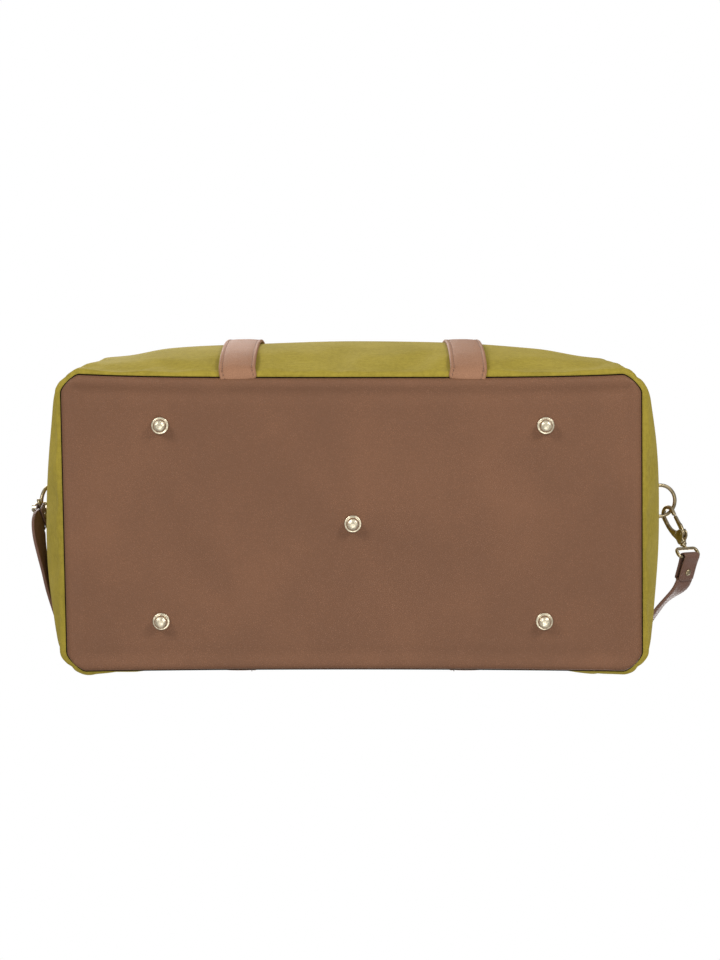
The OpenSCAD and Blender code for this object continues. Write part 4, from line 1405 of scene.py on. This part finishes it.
# Share of a strap's half width at which its stitches run
STITCH_AT = 0.79
# How far above its hinge a handle is fully rolled
ROLLED_AT = 46 * MM
# How far the straps' ends are tucked into the base seam, at the front and at the back
TUCK = {-1: 3 * MM, 1: 6 * MM}


def strap_section(half_w, thick):
    """Flat strap section as (across, height) places: turned edges, sewn grooves and a soft middle."""
    right = [(1.0, 0.3), (0.99, 0.72), (0.95, 0.98), (0.88, 1.0), (0.82, 0.9), (0.77, 0.84), (0.70, 0.96),
             (0.5, 1.03), (0.25, 1.07)]
    top = [(half_w * a, thick * h) for a, h in right]
    top += [(0.0, thick * 1.08)]
    top += [(-x, h) for x, h in reversed(top[:-1])]
    return top + [(half_w * a, 0.0) for a in (-0.97, -0.5, 0.0, 0.5, 0.97)]


def round_section(radius, count):
    """Round section with as many places as the flat one, from its right-hand side over the top."""
    places = []
    for k in range(count):
        angle = 2 * math.pi * (k - 0.5) / count
        places.append((radius * math.cos(angle), radius + radius * math.sin(angle)))
    return places


def handle_stations(tree, side):
    """Stations up one half of a handle: place, outward direction and share of the roll."""
    size = sizes()
    x = (STRAP_LOW.x + STRAP_HIGH.x) / 2
    hinge = joint_place("front_handle_swing")
    pivot_y, pivot_z = abs(hinge.y), hinge.z
    top = (GRIP_LOW.z + GRIP_HIGH.z) / 2
    out = Vector((0, side, 0))
    low = SEAM_Z + 3 * MM
    count = 34
    tucked = settled(Vector((x, side * (HALF_W - TUCK[side]), SEAM_Z + 0.6 * MM)))
    stations = [(tucked, Vector((0, side * 0.2, -1)).normalized(), 0.0)]
    if side < 0:
        edge = settled(Vector((x, side * (HALF_W + 0.2 * MM), SEAM_Z + 0.8 * MM)))
        stations.append((edge, Vector((0, side * 0.6, -0.8)).normalized(), 0.0))
    for k in range(count + 1):
        z = low + (TOP_Z - 9 * MM - low) * k / count
        place, normal = wall_hit(tree, Vector((x, side * 0.4, z)), -out)
        stations.append((place + out * 0.25 * MM, Vector((0, normal.y, normal.z)).normalized(), 0.0))
    face_y = pivot_y - 1.6 * MM
    for z, share in ((pivot_z - 2 * MM, 0.0), (pivot_z + 4 * MM, 0.0), (pivot_z + 10 * MM, 0.0),
                     (pivot_z + 17 * MM, 0.12), (pivot_z + 24 * MM, 0.42), (pivot_z + 31 * MM, 0.78),
                     (pivot_z + 38 * MM, 0.96), (pivot_z + ROLLED_AT, 1.0)):
        y = face_y + (pivot_y - size.roll_d / 2 - face_y) * share
        stations.append((Vector((x, side * y, z)), out.copy(), share))
    bend = size.handle_bend
    centre = Vector((x - bend, side * (pivot_y - size.roll_d / 2), top - bend))
    start = pivot_z + ROLLED_AT
    for k in range(1, 5):
        z = start + (centre.z - start) * k / 4
        stations.append((Vector((x, centre.y, z)), out.copy(), 1.0))
    for k in range(1, 13):
        angle = math.radians(90 * k / 12)
        place = centre + Vector((bend * math.cos(angle), 0, bend * math.sin(angle)))
        stations.append((place, out.copy(), 1.0))
    for k in range(1, 5):
        stations.append((Vector((centre.x * (1 - k / 4), centre.y, top)), out.copy(), 1.0))
    return stations


def mirrored_half(stations):
    """The stations of a whole handle from those of its right half, which ends at its middle."""
    flipped = [(Vector((-p.x, p.y, p.z)), o, share) for p, o, share in reversed(stations[:-1])]
    return stations + flipped


def add_handle(tree, side, name):
    """One leather strap from the base seam up the wall, rolled into a handle and down again."""
    size = sizes()
    stations = mirrored_half(handle_stations(tree, side))
    flat = strap_section(size.strap_w / 2, size.strap_t)
    rolled = round_section(size.roll_d / 2, len(flat))
    rows = []
    edges = ([], [])
    places = [place for place, _, _ in stations]
    for k, (place, out, share) in enumerate(stations):
        way = way_at(places, k)
        across = way.cross(out).normalized()
        lift = across.cross(way)
        section = [(fa + (ra - fa) * share, fh + (rh - fh) * share)
                   for (fa, fh), (ra, rh) in zip(flat, rolled)]
        rows.append(section_row(place, across, lift, section))
        if share < 0.3:
            for line, sign in zip(edges, (-1, 1)):
                narrow = size.strap_w / 2 * STITCH_AT * sign * (1 - share * 0.8)
                where = place + across * narrow + lift * (size.strap_t * 0.86)
                line.append((where, lift, place.x > 0))
    bm = bmesh.new()
    loft(bm, rows)
    piece = finish_piece(name + "_handle_leather", bm, "Strap leather", None,
                         [name + "_left_strap", name + "_right_strap", name + "_handle"], crease=75)
    subdivided(piece)
    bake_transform(piece)
    bm = bmesh.new()
    for line in edges:
        for right in (True, False):
            part = [(where, lift) for where, lift, on_right in line if on_right == right]
            add_stitches(bm, [p for p, _ in part], [o for _, o in part])
    stitches = finish_piece(name + "_handle_stitches", bm, "Brown thread", None)
    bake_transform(stitches)


def add_grip(name):
    """A leather sleeve round the middle of a handle, with a sewn seam underneath."""
    low, high = corners_of(name + "_grip")
    centre = (low + high) / 2
    half = (high.x - low.x) / 2
    outer = (high.z - low.z) / 2
    inner = sizes().roll_d / 2
    profile = [(inner + 0.1 * MM, -half + 1 * MM), (inner + 0.6 * MM, -half), (outer - 0.7 * MM, -half),
               (outer - 0.1 * MM, -half + 0.8 * MM), (outer - 0.35 * MM, -half + 3 * MM)]
    for k in range(1, 12):
        z = -half + 2 * half * k / 12
        profile.append((outer - 0.35 * MM * abs(k / 6 - 1), z))
    profile += [(r, -z) for r, z in reversed(profile[:5])]
    turn = Matrix.Rotation(math.radians(90), 4, "Y")
    bm = bmesh.new()
    lathe(bm, profile, Matrix.Translation(centre) @ turn, steps=36)
    finish_piece(name + "_grip_leather", bm, "Base leather", name + "_handle",
                 [name + "_grip"])
    bm = bmesh.new()
    z = 0.2 * MM - outer
    for y in (-2 * MM, 2 * MM):
        line = [centre + Vector((x, y, z)) for x in (-half + 4 * MM, half - 4 * MM)]
        add_stitches(bm, line, [-UP, -UP])
    finish_piece(name + "_grip_stitches", bm, "Brown thread", name + "_handle")


class DUFFEL_OT_rings(bpy.types.Operator):
    """Add the D-rings and the leather tabs that hold them"""

    bl_idname = "duffel.rings"
    bl_label = "Rings and tabs"

    def execute(self, context):
        tree = canvas_tree()
        for side, name in ((-1, "left"), (1, "right")):
            add_tab(tree, side, name)
            add_ring(side, name)
        return {"FINISHED"}


# Thickness of a ring tab's patch, and half the gap between its tongue's two layers at the root
TAB_T = 2.6 * MM
TONGUE_ROOT = 1.9 * MM


def end_wall_spot(tree, side, y, z):
    """The place on an end wall's canvas at a width and a height."""
    return wall_hit(tree, Vector((side * 0.5, y, z)), Vector((-side, 0, 0)))[0]


def add_tab(tree, side, name):
    """A leather tab sewn to the end wall, with a tongue folded round the ring's bar."""
    bar = joint_place(name + "_ring_swing")
    half_w = (TAB_HIGH.y - TAB_LOW.y) / 2
    bm = bmesh.new()
    edge = loft_patch(bm, tree, side, half_w)
    loft_tongue(bm, end_wall_spot(tree, side, 0, bar.z), bar, side, half_w)
    piece = finish_piece(name + "_tab_leather", bm, "Strap leather", "bag",
                         [name + "_ring_tab"], crease=80)
    subdivided(piece)
    add_tab_stitches(tree, side, name, edge, bar, half_w)


def loft_patch(bm, tree, side, half_w):
    """The tab's patch on the canvas; gives its half width at each height along its straight sides."""
    out = Vector((side, 0, 0))
    section = [(-1, -0.2), (-1, 0.6), (-0.94, 0.95), (-0.5, 1.0), (0, 1.03), (0.5, 1.0), (0.94, 0.95),
               (1, 0.6), (1, -0.2), (0, -0.2)]
    count = 14
    rows = []
    edge = []
    for k in range(count + 1):
        z = TAB_LOW.z + (TAB_HIGH.z - TAB_LOW.z) * k / count
        rim = min(z - TAB_LOW.z, TAB_HIGH.z - z)
        width = half_w - 5 * MM * (1 - roll_out(rim, 5 * MM))
        thick = TAB_T * (0.45 + 0.55 * roll_out(rim, 1.5 * MM))
        rows.append([end_wall_spot(tree, side, width * across, z) + out * (thick * height + 0.1 * MM)
                     for across, height in section])
        if rim > 2.2 * MM:
            edge.append((width, z))
    loft(bm, rows)
    return edge


def loft_tongue(bm, root, bar, side, half_w):
    """The tab's tongue: out from the wall over the ring's bar, round it and back underneath."""
    out = Vector((side, 0, 0))
    radius = sizes().ring_wire / 2 + 1.4 * MM
    steps = 6
    upper, lower = [], []
    for k in range(steps):
        x = root.x + (bar.x - root.x) * k / steps
        spread = TONGUE_ROOT + (radius - TONGUE_ROOT) * (k / steps) ** 2
        upper.append(Vector((x, 0, bar.z + spread)))
        lower.append(Vector((x, 0, bar.z - spread)))
    line = upper + arc_points(Vector((bar.x, 0, bar.z)), UP, out, radius, 0, 180, 12) + lower[::-1]
    section = [(half_w * 0.96 * a, 1.2 * MM * h) for a, h in (
        (-1, -0.9), (-1, 0.5), (-0.95, 0.9), (0, 1.1), (0.95, 0.9), (1, 0.5), (1, -0.9), (0, -1.0))]
    rows = []
    for k, place in enumerate(line):
        lift = ACROSS.cross(way_at(line, k)).normalized()
        if k < steps:
            lift = UP if lift.z >= 0 else -lift
        elif k >= len(line) - steps:
            lift = -UP if lift.z <= 0 else -lift
        elif lift.dot(place - Vector((bar.x, 0, bar.z))) < 0:
            lift = -lift
        rows.append(section_row(place, ACROSS, lift, section))
    loft(bm, rows)


def add_tab_stitches(tree, side, name, edge, bar, half_w):
    """Stitches down the patch's sides, clear of the tongue, and three rows across it."""
    out = Vector((side, 0, 0))
    bm = bmesh.new()
    for sign in (-1, 1):
        line = [end_wall_spot(tree, side, sign * (width - 2.4 * MM), z) + out * TAB_T
                for width, z in edge if abs(z - bar.z) >= 5 * MM]
        for part in ([p for p in line if p.z < bar.z], [p for p in line if p.z > bar.z]):
            if len(part) > 1:
                add_stitches(bm, part, [out] * len(part))
    for z in (TAB_LOW.z + 2.6 * MM, bar.z - 7 * MM, bar.z + 6 * MM):
        line = [end_wall_spot(tree, side, (half_w - 5 * MM) * (k / 3 - 1), z) + out * (TAB_T + 0.1 * MM)
                for k in range(7)]
        add_stitches(bm, line, [out] * len(line))
    finish_piece(name + "_tab_stitches", bm, "Brown thread", "bag")


# How far each ring hangs from level, in degrees
RING_RISE = {"left": -65.0, "right": 12.0}


def add_ring(side, name):
    """A D-ring of round wire."""
    size = sizes()
    bar = joint_place(name + "_ring_swing")
    rise = math.radians(RING_RISE[name])
    out = Vector((side * math.cos(rise), 0, math.sin(rise)))
    half = (size.ring_inside + size.ring_wire) / 2
    corner = 2.2 * MM
    path = [bar + ACROSS * (half * k / 5) for k in range(-4, 5)]
    path += arc_points(bar + out * corner + ACROSS * (half - corner), -out, ACROSS, corner, 0, 90, 5)
    path += [bar + out * size.ring_leg * 0.7 + ACROSS * half]
    path += arc_points(bar + out * size.ring_leg, ACROSS, out, half, 0, 180, 30)
    path += [bar + out * size.ring_leg * 0.7 - ACROSS * half]
    path += arc_points(bar + out * corner - ACROSS * (half - corner), -ACROSS, -out, corner, 0, 90, 5)
    bm = bmesh.new()
    closed_wire(bm, path, out.cross(ACROSS), size.ring_wire / 2, 16)
    finish_piece(name + "_d_ring", bm, "Antique brass", name + "_ring", [name + "_ring"])


class DUFFEL_OT_hooks(bpy.types.Operator):
    """Add the snap hooks, their sprung gates and their swivel loops"""

    bl_idname = "duffel.hooks"
    bl_label = "Snap hooks"

    def execute(self, context):
        for name in ("left", "right"):
            matrix = hook_matrix(name)
            add_hook(name, matrix)
            add_gate(name, matrix)
            add_swivel(name, matrix)
        return {"FINISHED"}


def hook_matrix(name):
    """The matrix that carries a hook drawn along X, flat side up, to its place."""
    swivel = JOINTS[name + "_hook_swivel"]
    run = Vector(swivel["axis"]).normalized()
    face = Vector(JOINTS[name + "_gate_open"]["axis"]).normalized()
    return frame_matrix(Vector(swivel["pos_m"]), run, face.cross(run), face)


# A hook is drawn along X from the middle of its claw: the claw's arcs, the socket's end, the gate's
# pivot, and the near and far bars of the swivel's loop
CLAW_X = 2.2 * MM
CLAW_IN = 5.5 * MM
CLAW_OUT = 9 * MM
BOSS_END = 35 * MM
GATE_PIVOT = Vector((27 * MM, 5.8 * MM, 0))
LOOP_X = 41 * MM
LOOP_BAR_X = 50 * MM
X_AXIS = Matrix.Rotation(math.radians(90), 4, "Y")


def add_hook(name, matrix):
    """The hook's body: claw, shank, cheeks round the gate and the turned socket of the swivel."""
    bm = bmesh.new()
    steps = 18
    outline = [(8 * MM, CLAW_OUT - 0.4 * MM)]
    for k in range(steps + 1):
        angle = math.radians(90 + 180 * k / steps)
        outline.append((CLAW_X + CLAW_OUT * math.cos(angle), CLAW_OUT * math.sin(angle)))
    outline += [(11 * MM, -CLAW_OUT), (16 * MM, -8.3 * MM), (22 * MM, -7 * MM), (28 * MM, -4.6 * MM),
                (33 * MM, -3.2 * MM), (33 * MM, 3 * MM), (24 * MM, 2.4 * MM), (21.5 * MM, 0.8 * MM),
                (18 * MM, -2.6 * MM), (14.5 * MM, -4.6 * MM), (10 * MM, -CLAW_IN)]
    for k in range(steps + 1):
        angle = math.radians(270 - 180 * k / steps)
        outline.append((CLAW_X + CLAW_IN * math.cos(angle), CLAW_IN * math.sin(angle)))
    outline += [(6.5 * MM, CLAW_IN + 0.2 * MM), (8 * MM, CLAW_IN + 1 * MM)]
    plate(bm, outline, 3.8 * MM, Matrix.Identity(4), 1.1 * MM, 3)
    cheek = [(22.5 * MM, 1.5 * MM), (24 * MM, -2.6 * MM), (33.5 * MM, -3.1 * MM), (33.5 * MM, 3.1 * MM),
             (31.5 * MM, 7.2 * MM), (28.5 * MM, 9.2 * MM), (24.5 * MM, 8.9 * MM), (22.8 * MM, 6 * MM)]
    for z in (-2.6 * MM, 2.6 * MM):
        plate(bm, cheek, 1.7 * MM, Matrix.Translation((0, 0, z)), 0.6 * MM, 2)
    socket = [(0, 28 * MM), (2.6 * MM, 28.2 * MM), (3.5 * MM, 29.4 * MM), (3.7 * MM, 31 * MM),
              (3.3 * MM, 31.8 * MM), (3.3 * MM, 32.6 * MM), (3.9 * MM, 33.1 * MM), (3.9 * MM, 34.4 * MM),
              (3.4 * MM, BOSS_END), (0, BOSS_END)]
    lathe(bm, socket, X_AXIS, 28)
    pin = [(0, -3.7 * MM), (1.3 * MM, -3.7 * MM), (1.6 * MM, -3.4 * MM), (1.6 * MM, 3.4 * MM),
           (1.3 * MM, 3.7 * MM), (0, 3.7 * MM)]
    lathe(bm, pin, Matrix.Translation(GATE_PIVOT), 18)
    bmesh.ops.transform(bm, matrix=matrix, verts=bm.verts)
    finish_piece(name + "_hook_body", bm, "Antique brass", name + "_hook",
                 [name + "_hook"], crease=42)


def add_gate(name, matrix):
    """The hook's sprung gate, with a thumb bump near its pivot."""
    bm = bmesh.new()
    steps = 10
    inner = CLAW_IN + 0.2 * MM
    outer = CLAW_OUT - 0.1 * MM
    outline = [(8.4 * MM, outer - 0.6 * MM), (8.4 * MM, inner + 0.6 * MM), (9.2 * MM, inner),
               (22 * MM, inner - 0.4 * MM), (24.6 * MM, 4.2 * MM)]
    for k in range(steps + 1):
        angle = math.radians(-110 + 190 * k / steps)
        outline.append((GATE_PIVOT.x + 2.9 * MM * math.cos(angle), GATE_PIVOT.y + 2.9 * MM * math.sin(angle)))
    outline += [(22 * MM, outer + 0.7 * MM), (19.5 * MM, outer + 0.9 * MM), (17.5 * MM, outer + 0.2 * MM),
                (9.2 * MM, outer)]
    plate(bm, outline, 3.0 * MM, Matrix.Identity(4), 0.8 * MM, 3)
    bmesh.ops.transform(bm, matrix=matrix, verts=bm.verts)
    finish_piece(name + "_gate_bar", bm, "Antique brass", name + "_gate",
                 [name + "_gate"], crease=42)


def add_swivel(name, matrix):
    """The swivel's stem and its rounded loop."""
    size = sizes()
    bm = bmesh.new()
    stem = [(0, 32 * MM), (1.9 * MM, 32 * MM), (1.9 * MM, 35.2 * MM), (3.1 * MM, 35.4 * MM),
            (3.3 * MM, 36.2 * MM), (3.0 * MM, 37.1 * MM), (1.9 * MM, 37.6 * MM), (1.8 * MM, 39.6 * MM),
            (2.4 * MM, 40.6 * MM), (0, 42 * MM)]
    lathe(bm, stem, X_AXIS, 26)
    half = (size.sling_w + 3 * MM + size.loop_wire) / 2
    corner = 3.4 * MM
    run = Vector((1, 0, 0))
    bar = square_to(matrix.to_3x3().inverted() @ SLING_ENDS[name]["bar"], run)
    reach = bar * (half - corner)
    near, far = run * (LOOP_X + corner), run * (LOOP_BAR_X - corner)
    path = [run * LOOP_X + reach * k / 4 for k in range(-4, 4)]
    path += arc_points(near + reach, -run, bar, corner, 0, 90, 6)
    path += arc_points(far + reach, bar, run, corner, 0, 90, 6)
    path += [run * LOOP_BAR_X - reach * k / 4 for k in range(-3, 4)]
    path += arc_points(far - reach, run, -bar, corner, 0, 90, 6)
    path += arc_points(near - reach, -bar, -run, corner, 0, 84, 6)
    closed_wire(bm, path, run.cross(bar), size.loop_wire / 2, 14)
    bmesh.ops.transform(bm, matrix=matrix, verts=bm.verts)
    finish_piece(name + "_swivel_loop", bm, "Antique brass", "sling", [name + "_swivel"])


# Direction of each swivel loop's bar, and of the strap where it leaves the bar
SLING_ENDS = {
    "right": {"bar": Vector((0.8, 0.03, 0.6)), "leave": Vector((-0.2, 0.94, 0.23))},
    "left": {"bar": Vector((0.3, 0.95, 0)), "leave": Vector((0.06, 0.12, -0.99))},
}
# Length of the strap's folded ends, and how far from the bar each rivet sits
FOLD_L = 24 * MM
RIVET_AT = 15 * MM
# The strap's way round the back: place, and direction of its width
SLING_ROUTE = [
    ((0.306, 0.083, 0.203), (0.6, 0, 0.8)),
    ((0.296, 0.092, 0.199), (0.25, 0.2, 0.95)),
    ((0.286, 0.103, 0.194), (0.2, 0.3, 0.93)),
    ((0.277, 0.115, 0.189), (0.2, 0.2, 0.96)),
    ((0.266, 0.126, 0.184), (0.1, 0.1, 1)),
    ((0.251, 0.136, 0.179), (0, 0, 1)),
    ((0.230, 0.142, 0.173), (0, 0, 1)),
    ((0.200, 0.144, 0.165), (0, 0, 1)),
    ((0.165, 0.144, 0.157), (0, 0, 1)),
    ((0.130, 0.143, 0.15), (0, 0, 1)),
    ((0.090, 0.142, 0.143), (0, 0, 1)),
    ((0.050, 0.141, 0.138), (0, 0, 1)),
    ((0.010, 0.141, 0.1345), (0, 0, 1)),
    ((-0.030, 0.141, 0.132), (0, 0, 1)),
    ((-0.070, 0.141, 0.1305), (0, 0, 1)),
    ((-0.110, 0.142, 0.1295), (0, 0, 1)),
    ((-0.150, 0.143, 0.128), (0, 0, 1)),
    ((-0.190, 0.144, 0.1255), (0, 0, 1)),
    ((-0.220, 0.143, 0.121), (0, 0, 1)),
    ((-0.241, 0.136, 0.117), (0, 0, 1)),
    ((-0.257, 0.121, 0.114), (0, 0, 1)),
    ((-0.266, 0.104, 0.112), (0, 0, 1)),
    ((-0.272, 0.086, 0.111), (0, 0, 1)),
    ((-0.276, 0.068, 0.109), (0.1, 0, 1)),
    ((-0.279, 0.051, 0.107), (0.15, 0, 0.98)),
    ((-0.282, 0.036, 0.106), (0.25, 0.15, 0.95)),
    ((-0.2845, 0.023, 0.1085), (0.4, 0.42, 0.8)),
    ((-0.286, 0.014, 0.115), (0.45, 0.7, 0.55)),
    ((-0.2865, 0.010, 0.122), (0.35, 0.9, 0.25)),
]
# Places of the route, counted from its start, at which the buckle and the keeper sit
BUCKLE_AT = 13
KEEPER_AT = 10


def sling_end(name):
    """Middle of a swivel loop's bar, the bar's direction and the strap's direction leaving it."""
    swivel = JOINTS[name + "_hook_swivel"]
    run = Vector(swivel["axis"]).normalized()
    bar = square_to(SLING_ENDS[name]["bar"], run)
    leave = square_to(SLING_ENDS[name]["leave"], bar)
    return Vector(swivel["pos_m"]) + run * LOOP_BAR_X, bar, leave


def sling_line(steps):
    """The strap's smooth centre line and the direction of its width at each of its places."""
    right_mid, right_bar, right_leave = sling_end("right")
    left_mid, left_bar, left_leave = sling_end("left")
    places = [right_mid + right_leave * (FOLD_L - 4 * MM), right_mid + right_leave * (FOLD_L + 2 * MM)]
    widths = [right_bar, right_bar]
    for place, width in SLING_ROUTE:
        places.append(Vector(place))
        widths.append(Vector(width).normalized())
    places += [left_mid + left_leave * (FOLD_L + 2 * MM), left_mid + left_leave * (FOLD_L - 4 * MM)]
    widths += [left_bar, left_bar]
    return smooth_line(places, steps), smooth_line(widths, steps)


class DUFFEL_OT_shoulder_strap(bpy.types.Operator):
    """Add the shoulder strap, its folded ends, rivets, buckle and keeper"""

    bl_idname = "duffel.shoulder_strap"
    bl_label = "Shoulder strap"

    def execute(self, context):
        size = sizes()
        line, widths = sling_line(4)
        section = strap_section(size.sling_w / 2, size.sling_t * 0.92)
        rows = []
        edges = ([], [])
        for k, place in enumerate(line):
            way = way_at(line, k)
            across = square_to(widths[k], way)
            lift = across.cross(way)
            under = place - lift * size.sling_t / 2
            rows.append(section_row(under, across, lift, section))
            for points, sign in zip(edges, (-1, 1)):
                where = under + across * (size.sling_w / 2 * STITCH_AT * sign) + lift * size.sling_t * 0.8
                points.append((where, lift))
        bm = bmesh.new()
        loft(bm, rows)
        strap = finish_piece("shoulder_strap_leather", bm, "Shoulder strap leather", "sling",
                             ["shoulder_strap"], crease=75)
        bm = bmesh.new()
        for points in edges:
            add_stitches(bm, [p for p, _ in points], [o for _, o in points])
        pieces = [finish_piece("shoulder_strap_stitches", bm, "Brown thread", "sling")]
        for name in ("left", "right"):
            pieces += add_sling_end(name)
        pieces += [add_buckle(), add_keeper()]
        return {"FINISHED"}


def add_sling_end(name):
    """The strap's end, folded round its loop's bar, sewn and riveted."""
    size = sizes()
    mid, bar, leave = sling_end(name)
    lift = leave.cross(bar).normalized()
    rise = size.sling_t / 2 + 0.9 * MM
    fold = add_fold(name, mid, bar, leave, lift, rise)
    bm = bmesh.new()
    turn = frame_matrix(mid + leave * RIVET_AT, leave, lift.cross(leave), lift)
    face = rise + 1.1 * MM
    cap = [(0, face + 1.3 * MM), (1.6 * MM, face + 1.2 * MM), (2.9 * MM, face + 0.8 * MM),
           (3.4 * MM, face + 0.1 * MM), (3.2 * MM, face - 0.3 * MM), (0, face - 0.3 * MM)]
    lathe(bm, cap, turn, 26)
    lathe(bm, [(r, -h) for r, h in cap], turn, 26)
    rivet = finish_piece(name + "_strap_rivet", bm, "Antique brass", "sling", ["strap_rivets"])
    bm = bmesh.new()
    for sign in (-1, 1):
        height = lift * (sign * (rise + 1.12 * MM))
        for share in (-0.38, 0.38):
            ends = [mid + leave * x + bar * (size.sling_w * share) + height
                    for x in (FOLD_L - 2 * MM, 8 * MM)]
            add_stitches(bm, ends, [lift * sign] * 2)
        ends = [mid + leave * (FOLD_L - 2.5 * MM) + bar * (size.sling_w * share) + height
                for share in (-0.36, 0.36)]
        add_stitches(bm, ends, [lift * sign] * 2)
    stitches = finish_piece(name + "_strap_fold_stitches", bm, "Brown thread", "sling")
    return [fold, rivet, stitches]


def add_fold(name, mid, bar, leave, lift, rise):
    """The folded leather: along the strap's upper face, round the bar and back along the lower face."""
    size = sizes()
    radius = size.loop_wire / 2 + 1.6 * MM
    steps = 8
    upper, lower = [], []
    for k in range(steps):
        x = FOLD_L * (1 - k / steps)
        height = rise + (radius - rise) * max(0.0, 1 - x / (9 * MM)) ** 2
        upper.append(mid + leave * x + lift * height)
        lower.append(mid + leave * x - lift * height)
    line = upper + arc_points(mid, lift, -leave, radius, 0, 180, 12) + lower[::-1]
    section = [(size.sling_w * 0.49 * a, 1.05 * MM * h) for a, h in (
        (-1, -0.8), (-1, 0.5), (-0.93, 0.9), (-0.5, 1.0), (0, 1.02), (0.5, 1.0), (0.93, 0.9), (1, 0.5),
        (1, -0.8), (0, -0.9))]
    rows = []
    out = lift
    for k, place in enumerate(line):
        square = bar.cross(way_at(line, k)).normalized()
        if 0 < k < len(line) - 1:
            out = square if square.dot(out) >= 0 else -square
        elif k:
            out = -lift
        rows.append(section_row(place, bar, out, section))
    bm = bmesh.new()
    loft(bm, rows)
    fold = finish_piece(name + "_strap_fold", bm, "Shoulder strap leather", "sling",
                        [name + "_strap_end"], crease=80)
    subdivided(fold)
    return fold


def sling_spot(index):
    """Matrix of a place on the strap's route: X along it, Y across and Z out of its face."""
    line, widths = sling_line(4)
    where = min(range(len(line)), key=lambda k: (line[k] - Vector(SLING_ROUTE[index][0])).length)
    way = (line[where + 1] - line[where - 1]).normalized()
    across = square_to(widths[where], way)
    return frame_matrix(line[where], way, across, across.cross(way) * -1)


def add_buckle():
    """A rectangular adjuster frame: two bars on each face of the strap, joined at its sides."""
    size = sizes()
    wire = 1.8 * MM
    half_y = size.sling_w / 2 + 1.9 * MM
    half_x = 2.6 * MM
    rise = size.sling_t / 2 + 1.1 * MM
    bm = bmesh.new()
    for x in (-half_x, half_x):
        for z in (-rise, rise):
            path = [Vector((x, half_y * (k / 3 - 1), z)) for k in range(7)]
            open_wire(bm, path, wire / 2, Vector((1, 0, 0)), 10)
    for y in (-half_y, half_y):
        grow = Matrix.Diagonal((2 * half_x + wire, wire, size.sling_t + 4 * MM, 1))
        cube = bmesh.ops.create_cube(bm, size=1, matrix=Matrix.Translation((0, y, 0)) @ grow)
        rounded_edges(bm, {edge for vert in cube["verts"] for edge in vert.link_edges}, 0.6 * MM)
    bmesh.ops.transform(bm, matrix=sling_spot(BUCKLE_AT), verts=bm.verts)
    return finish_piece("adjuster_buckle", bm, "Antique brass", "sling", ["strap_buckle"])


def add_keeper():
    """A narrow leather loop round the strap."""
    size = sizes()
    half_y = size.sling_w / 2 + 1 * MM
    half_z = size.sling_t / 2 + 0.9 * MM
    outline = rounded_bar(half_y, half_z, 1.6 * MM, 4)
    bm = bmesh.new()
    rows = []
    for x, grow in ((-4, 0.0), (-3.6, 0.5), (-2.5, 0.62), (0, 0.66), (2.5, 0.62), (3.6, 0.5), (4, 0.0)):
        extra = 1 + grow * MM / half_z
        across = 1 + grow * MM / half_y
        rows.append([Vector((x * MM, y * across, z * extra)) for y, z in outline])
    for x in (3.6, 0, -3.6):
        rows.append([Vector((x * MM, y * 0.985, z * 0.9)) for y, z in outline])
    rows.append(rows[0])
    loft(bm, rows, caps=False)
    bmesh.ops.remove_doubles(bm, verts=bm.verts, dist=1e-6)
    bmesh.ops.transform(bm, matrix=sling_spot(KEEPER_AT), verts=bm.verts)
    return finish_piece("strap_keeper_loop", bm, "Shoulder strap leather", "sling",
                        ["strap_keeper"])


class DUFFEL_PT_panel(bpy.types.Panel):
    """Lists the bag's pieces and their settings"""

    bl_idname = "DUFFEL_PT_panel"
    bl_label = "Duffel Bag"
    bl_space_type = "VIEW_3D"
    bl_region_type = "UI"
    bl_category = "Duffel"

    def draw(self, context):
        layout = self.layout
        for operator in OPERATORS:
            layout.operator(operator.bl_idname)
        for settings in (context.scene.duffel_sizes, context.scene.duffel_colours):
            box = layout.box()
            for name in settings.bl_rna.properties.keys():
                if name not in ("rna_type", "name"):
                    box.prop(settings, name)


# In the order in which main runs them
OPERATORS = [
    DUFFEL_OT_stage, DUFFEL_OT_shoulder_strap, DUFFEL_OT_base, DUFFEL_OT_feet, DUFFEL_OT_walls,
    DUFFEL_OT_lining, DUFFEL_OT_top, DUFFEL_OT_zip, DUFFEL_OT_handles, DUFFEL_OT_rings, DUFFEL_OT_hooks,
]
CLASSES = [DuffelSizes, DuffelColours, *OPERATORS, DUFFEL_PT_panel]


def register():
    """Registers the settings, the operators and the panel."""
    for cls in CLASSES:
        bpy.utils.register_class(cls)
    bpy.types.Scene.duffel_sizes = PointerProperty(type=DuffelSizes)
    bpy.types.Scene.duffel_colours = PointerProperty(type=DuffelColours)


def unregister():
    """Takes back what register added."""
    del bpy.types.Scene.duffel_colours
    del bpy.types.Scene.duffel_sizes
    for cls in reversed(CLASSES):
        bpy.utils.unregister_class(cls)


def main():
    """Builds the whole bag on its stage."""
    register()
    bpy.ops.duffel.stage()
    bpy.ops.duffel.shoulder_strap()
    bpy.ops.duffel.base()
    bpy.ops.duffel.feet()
    bpy.ops.duffel.walls()
    bpy.ops.duffel.lining()
    bpy.ops.duffel.top()
    bpy.ops.duffel.zip()
    bpy.ops.duffel.handles()
    bpy.ops.duffel.rings()
    bpy.ops.duffel.hooks()


if __name__ == "__main__":
    main()
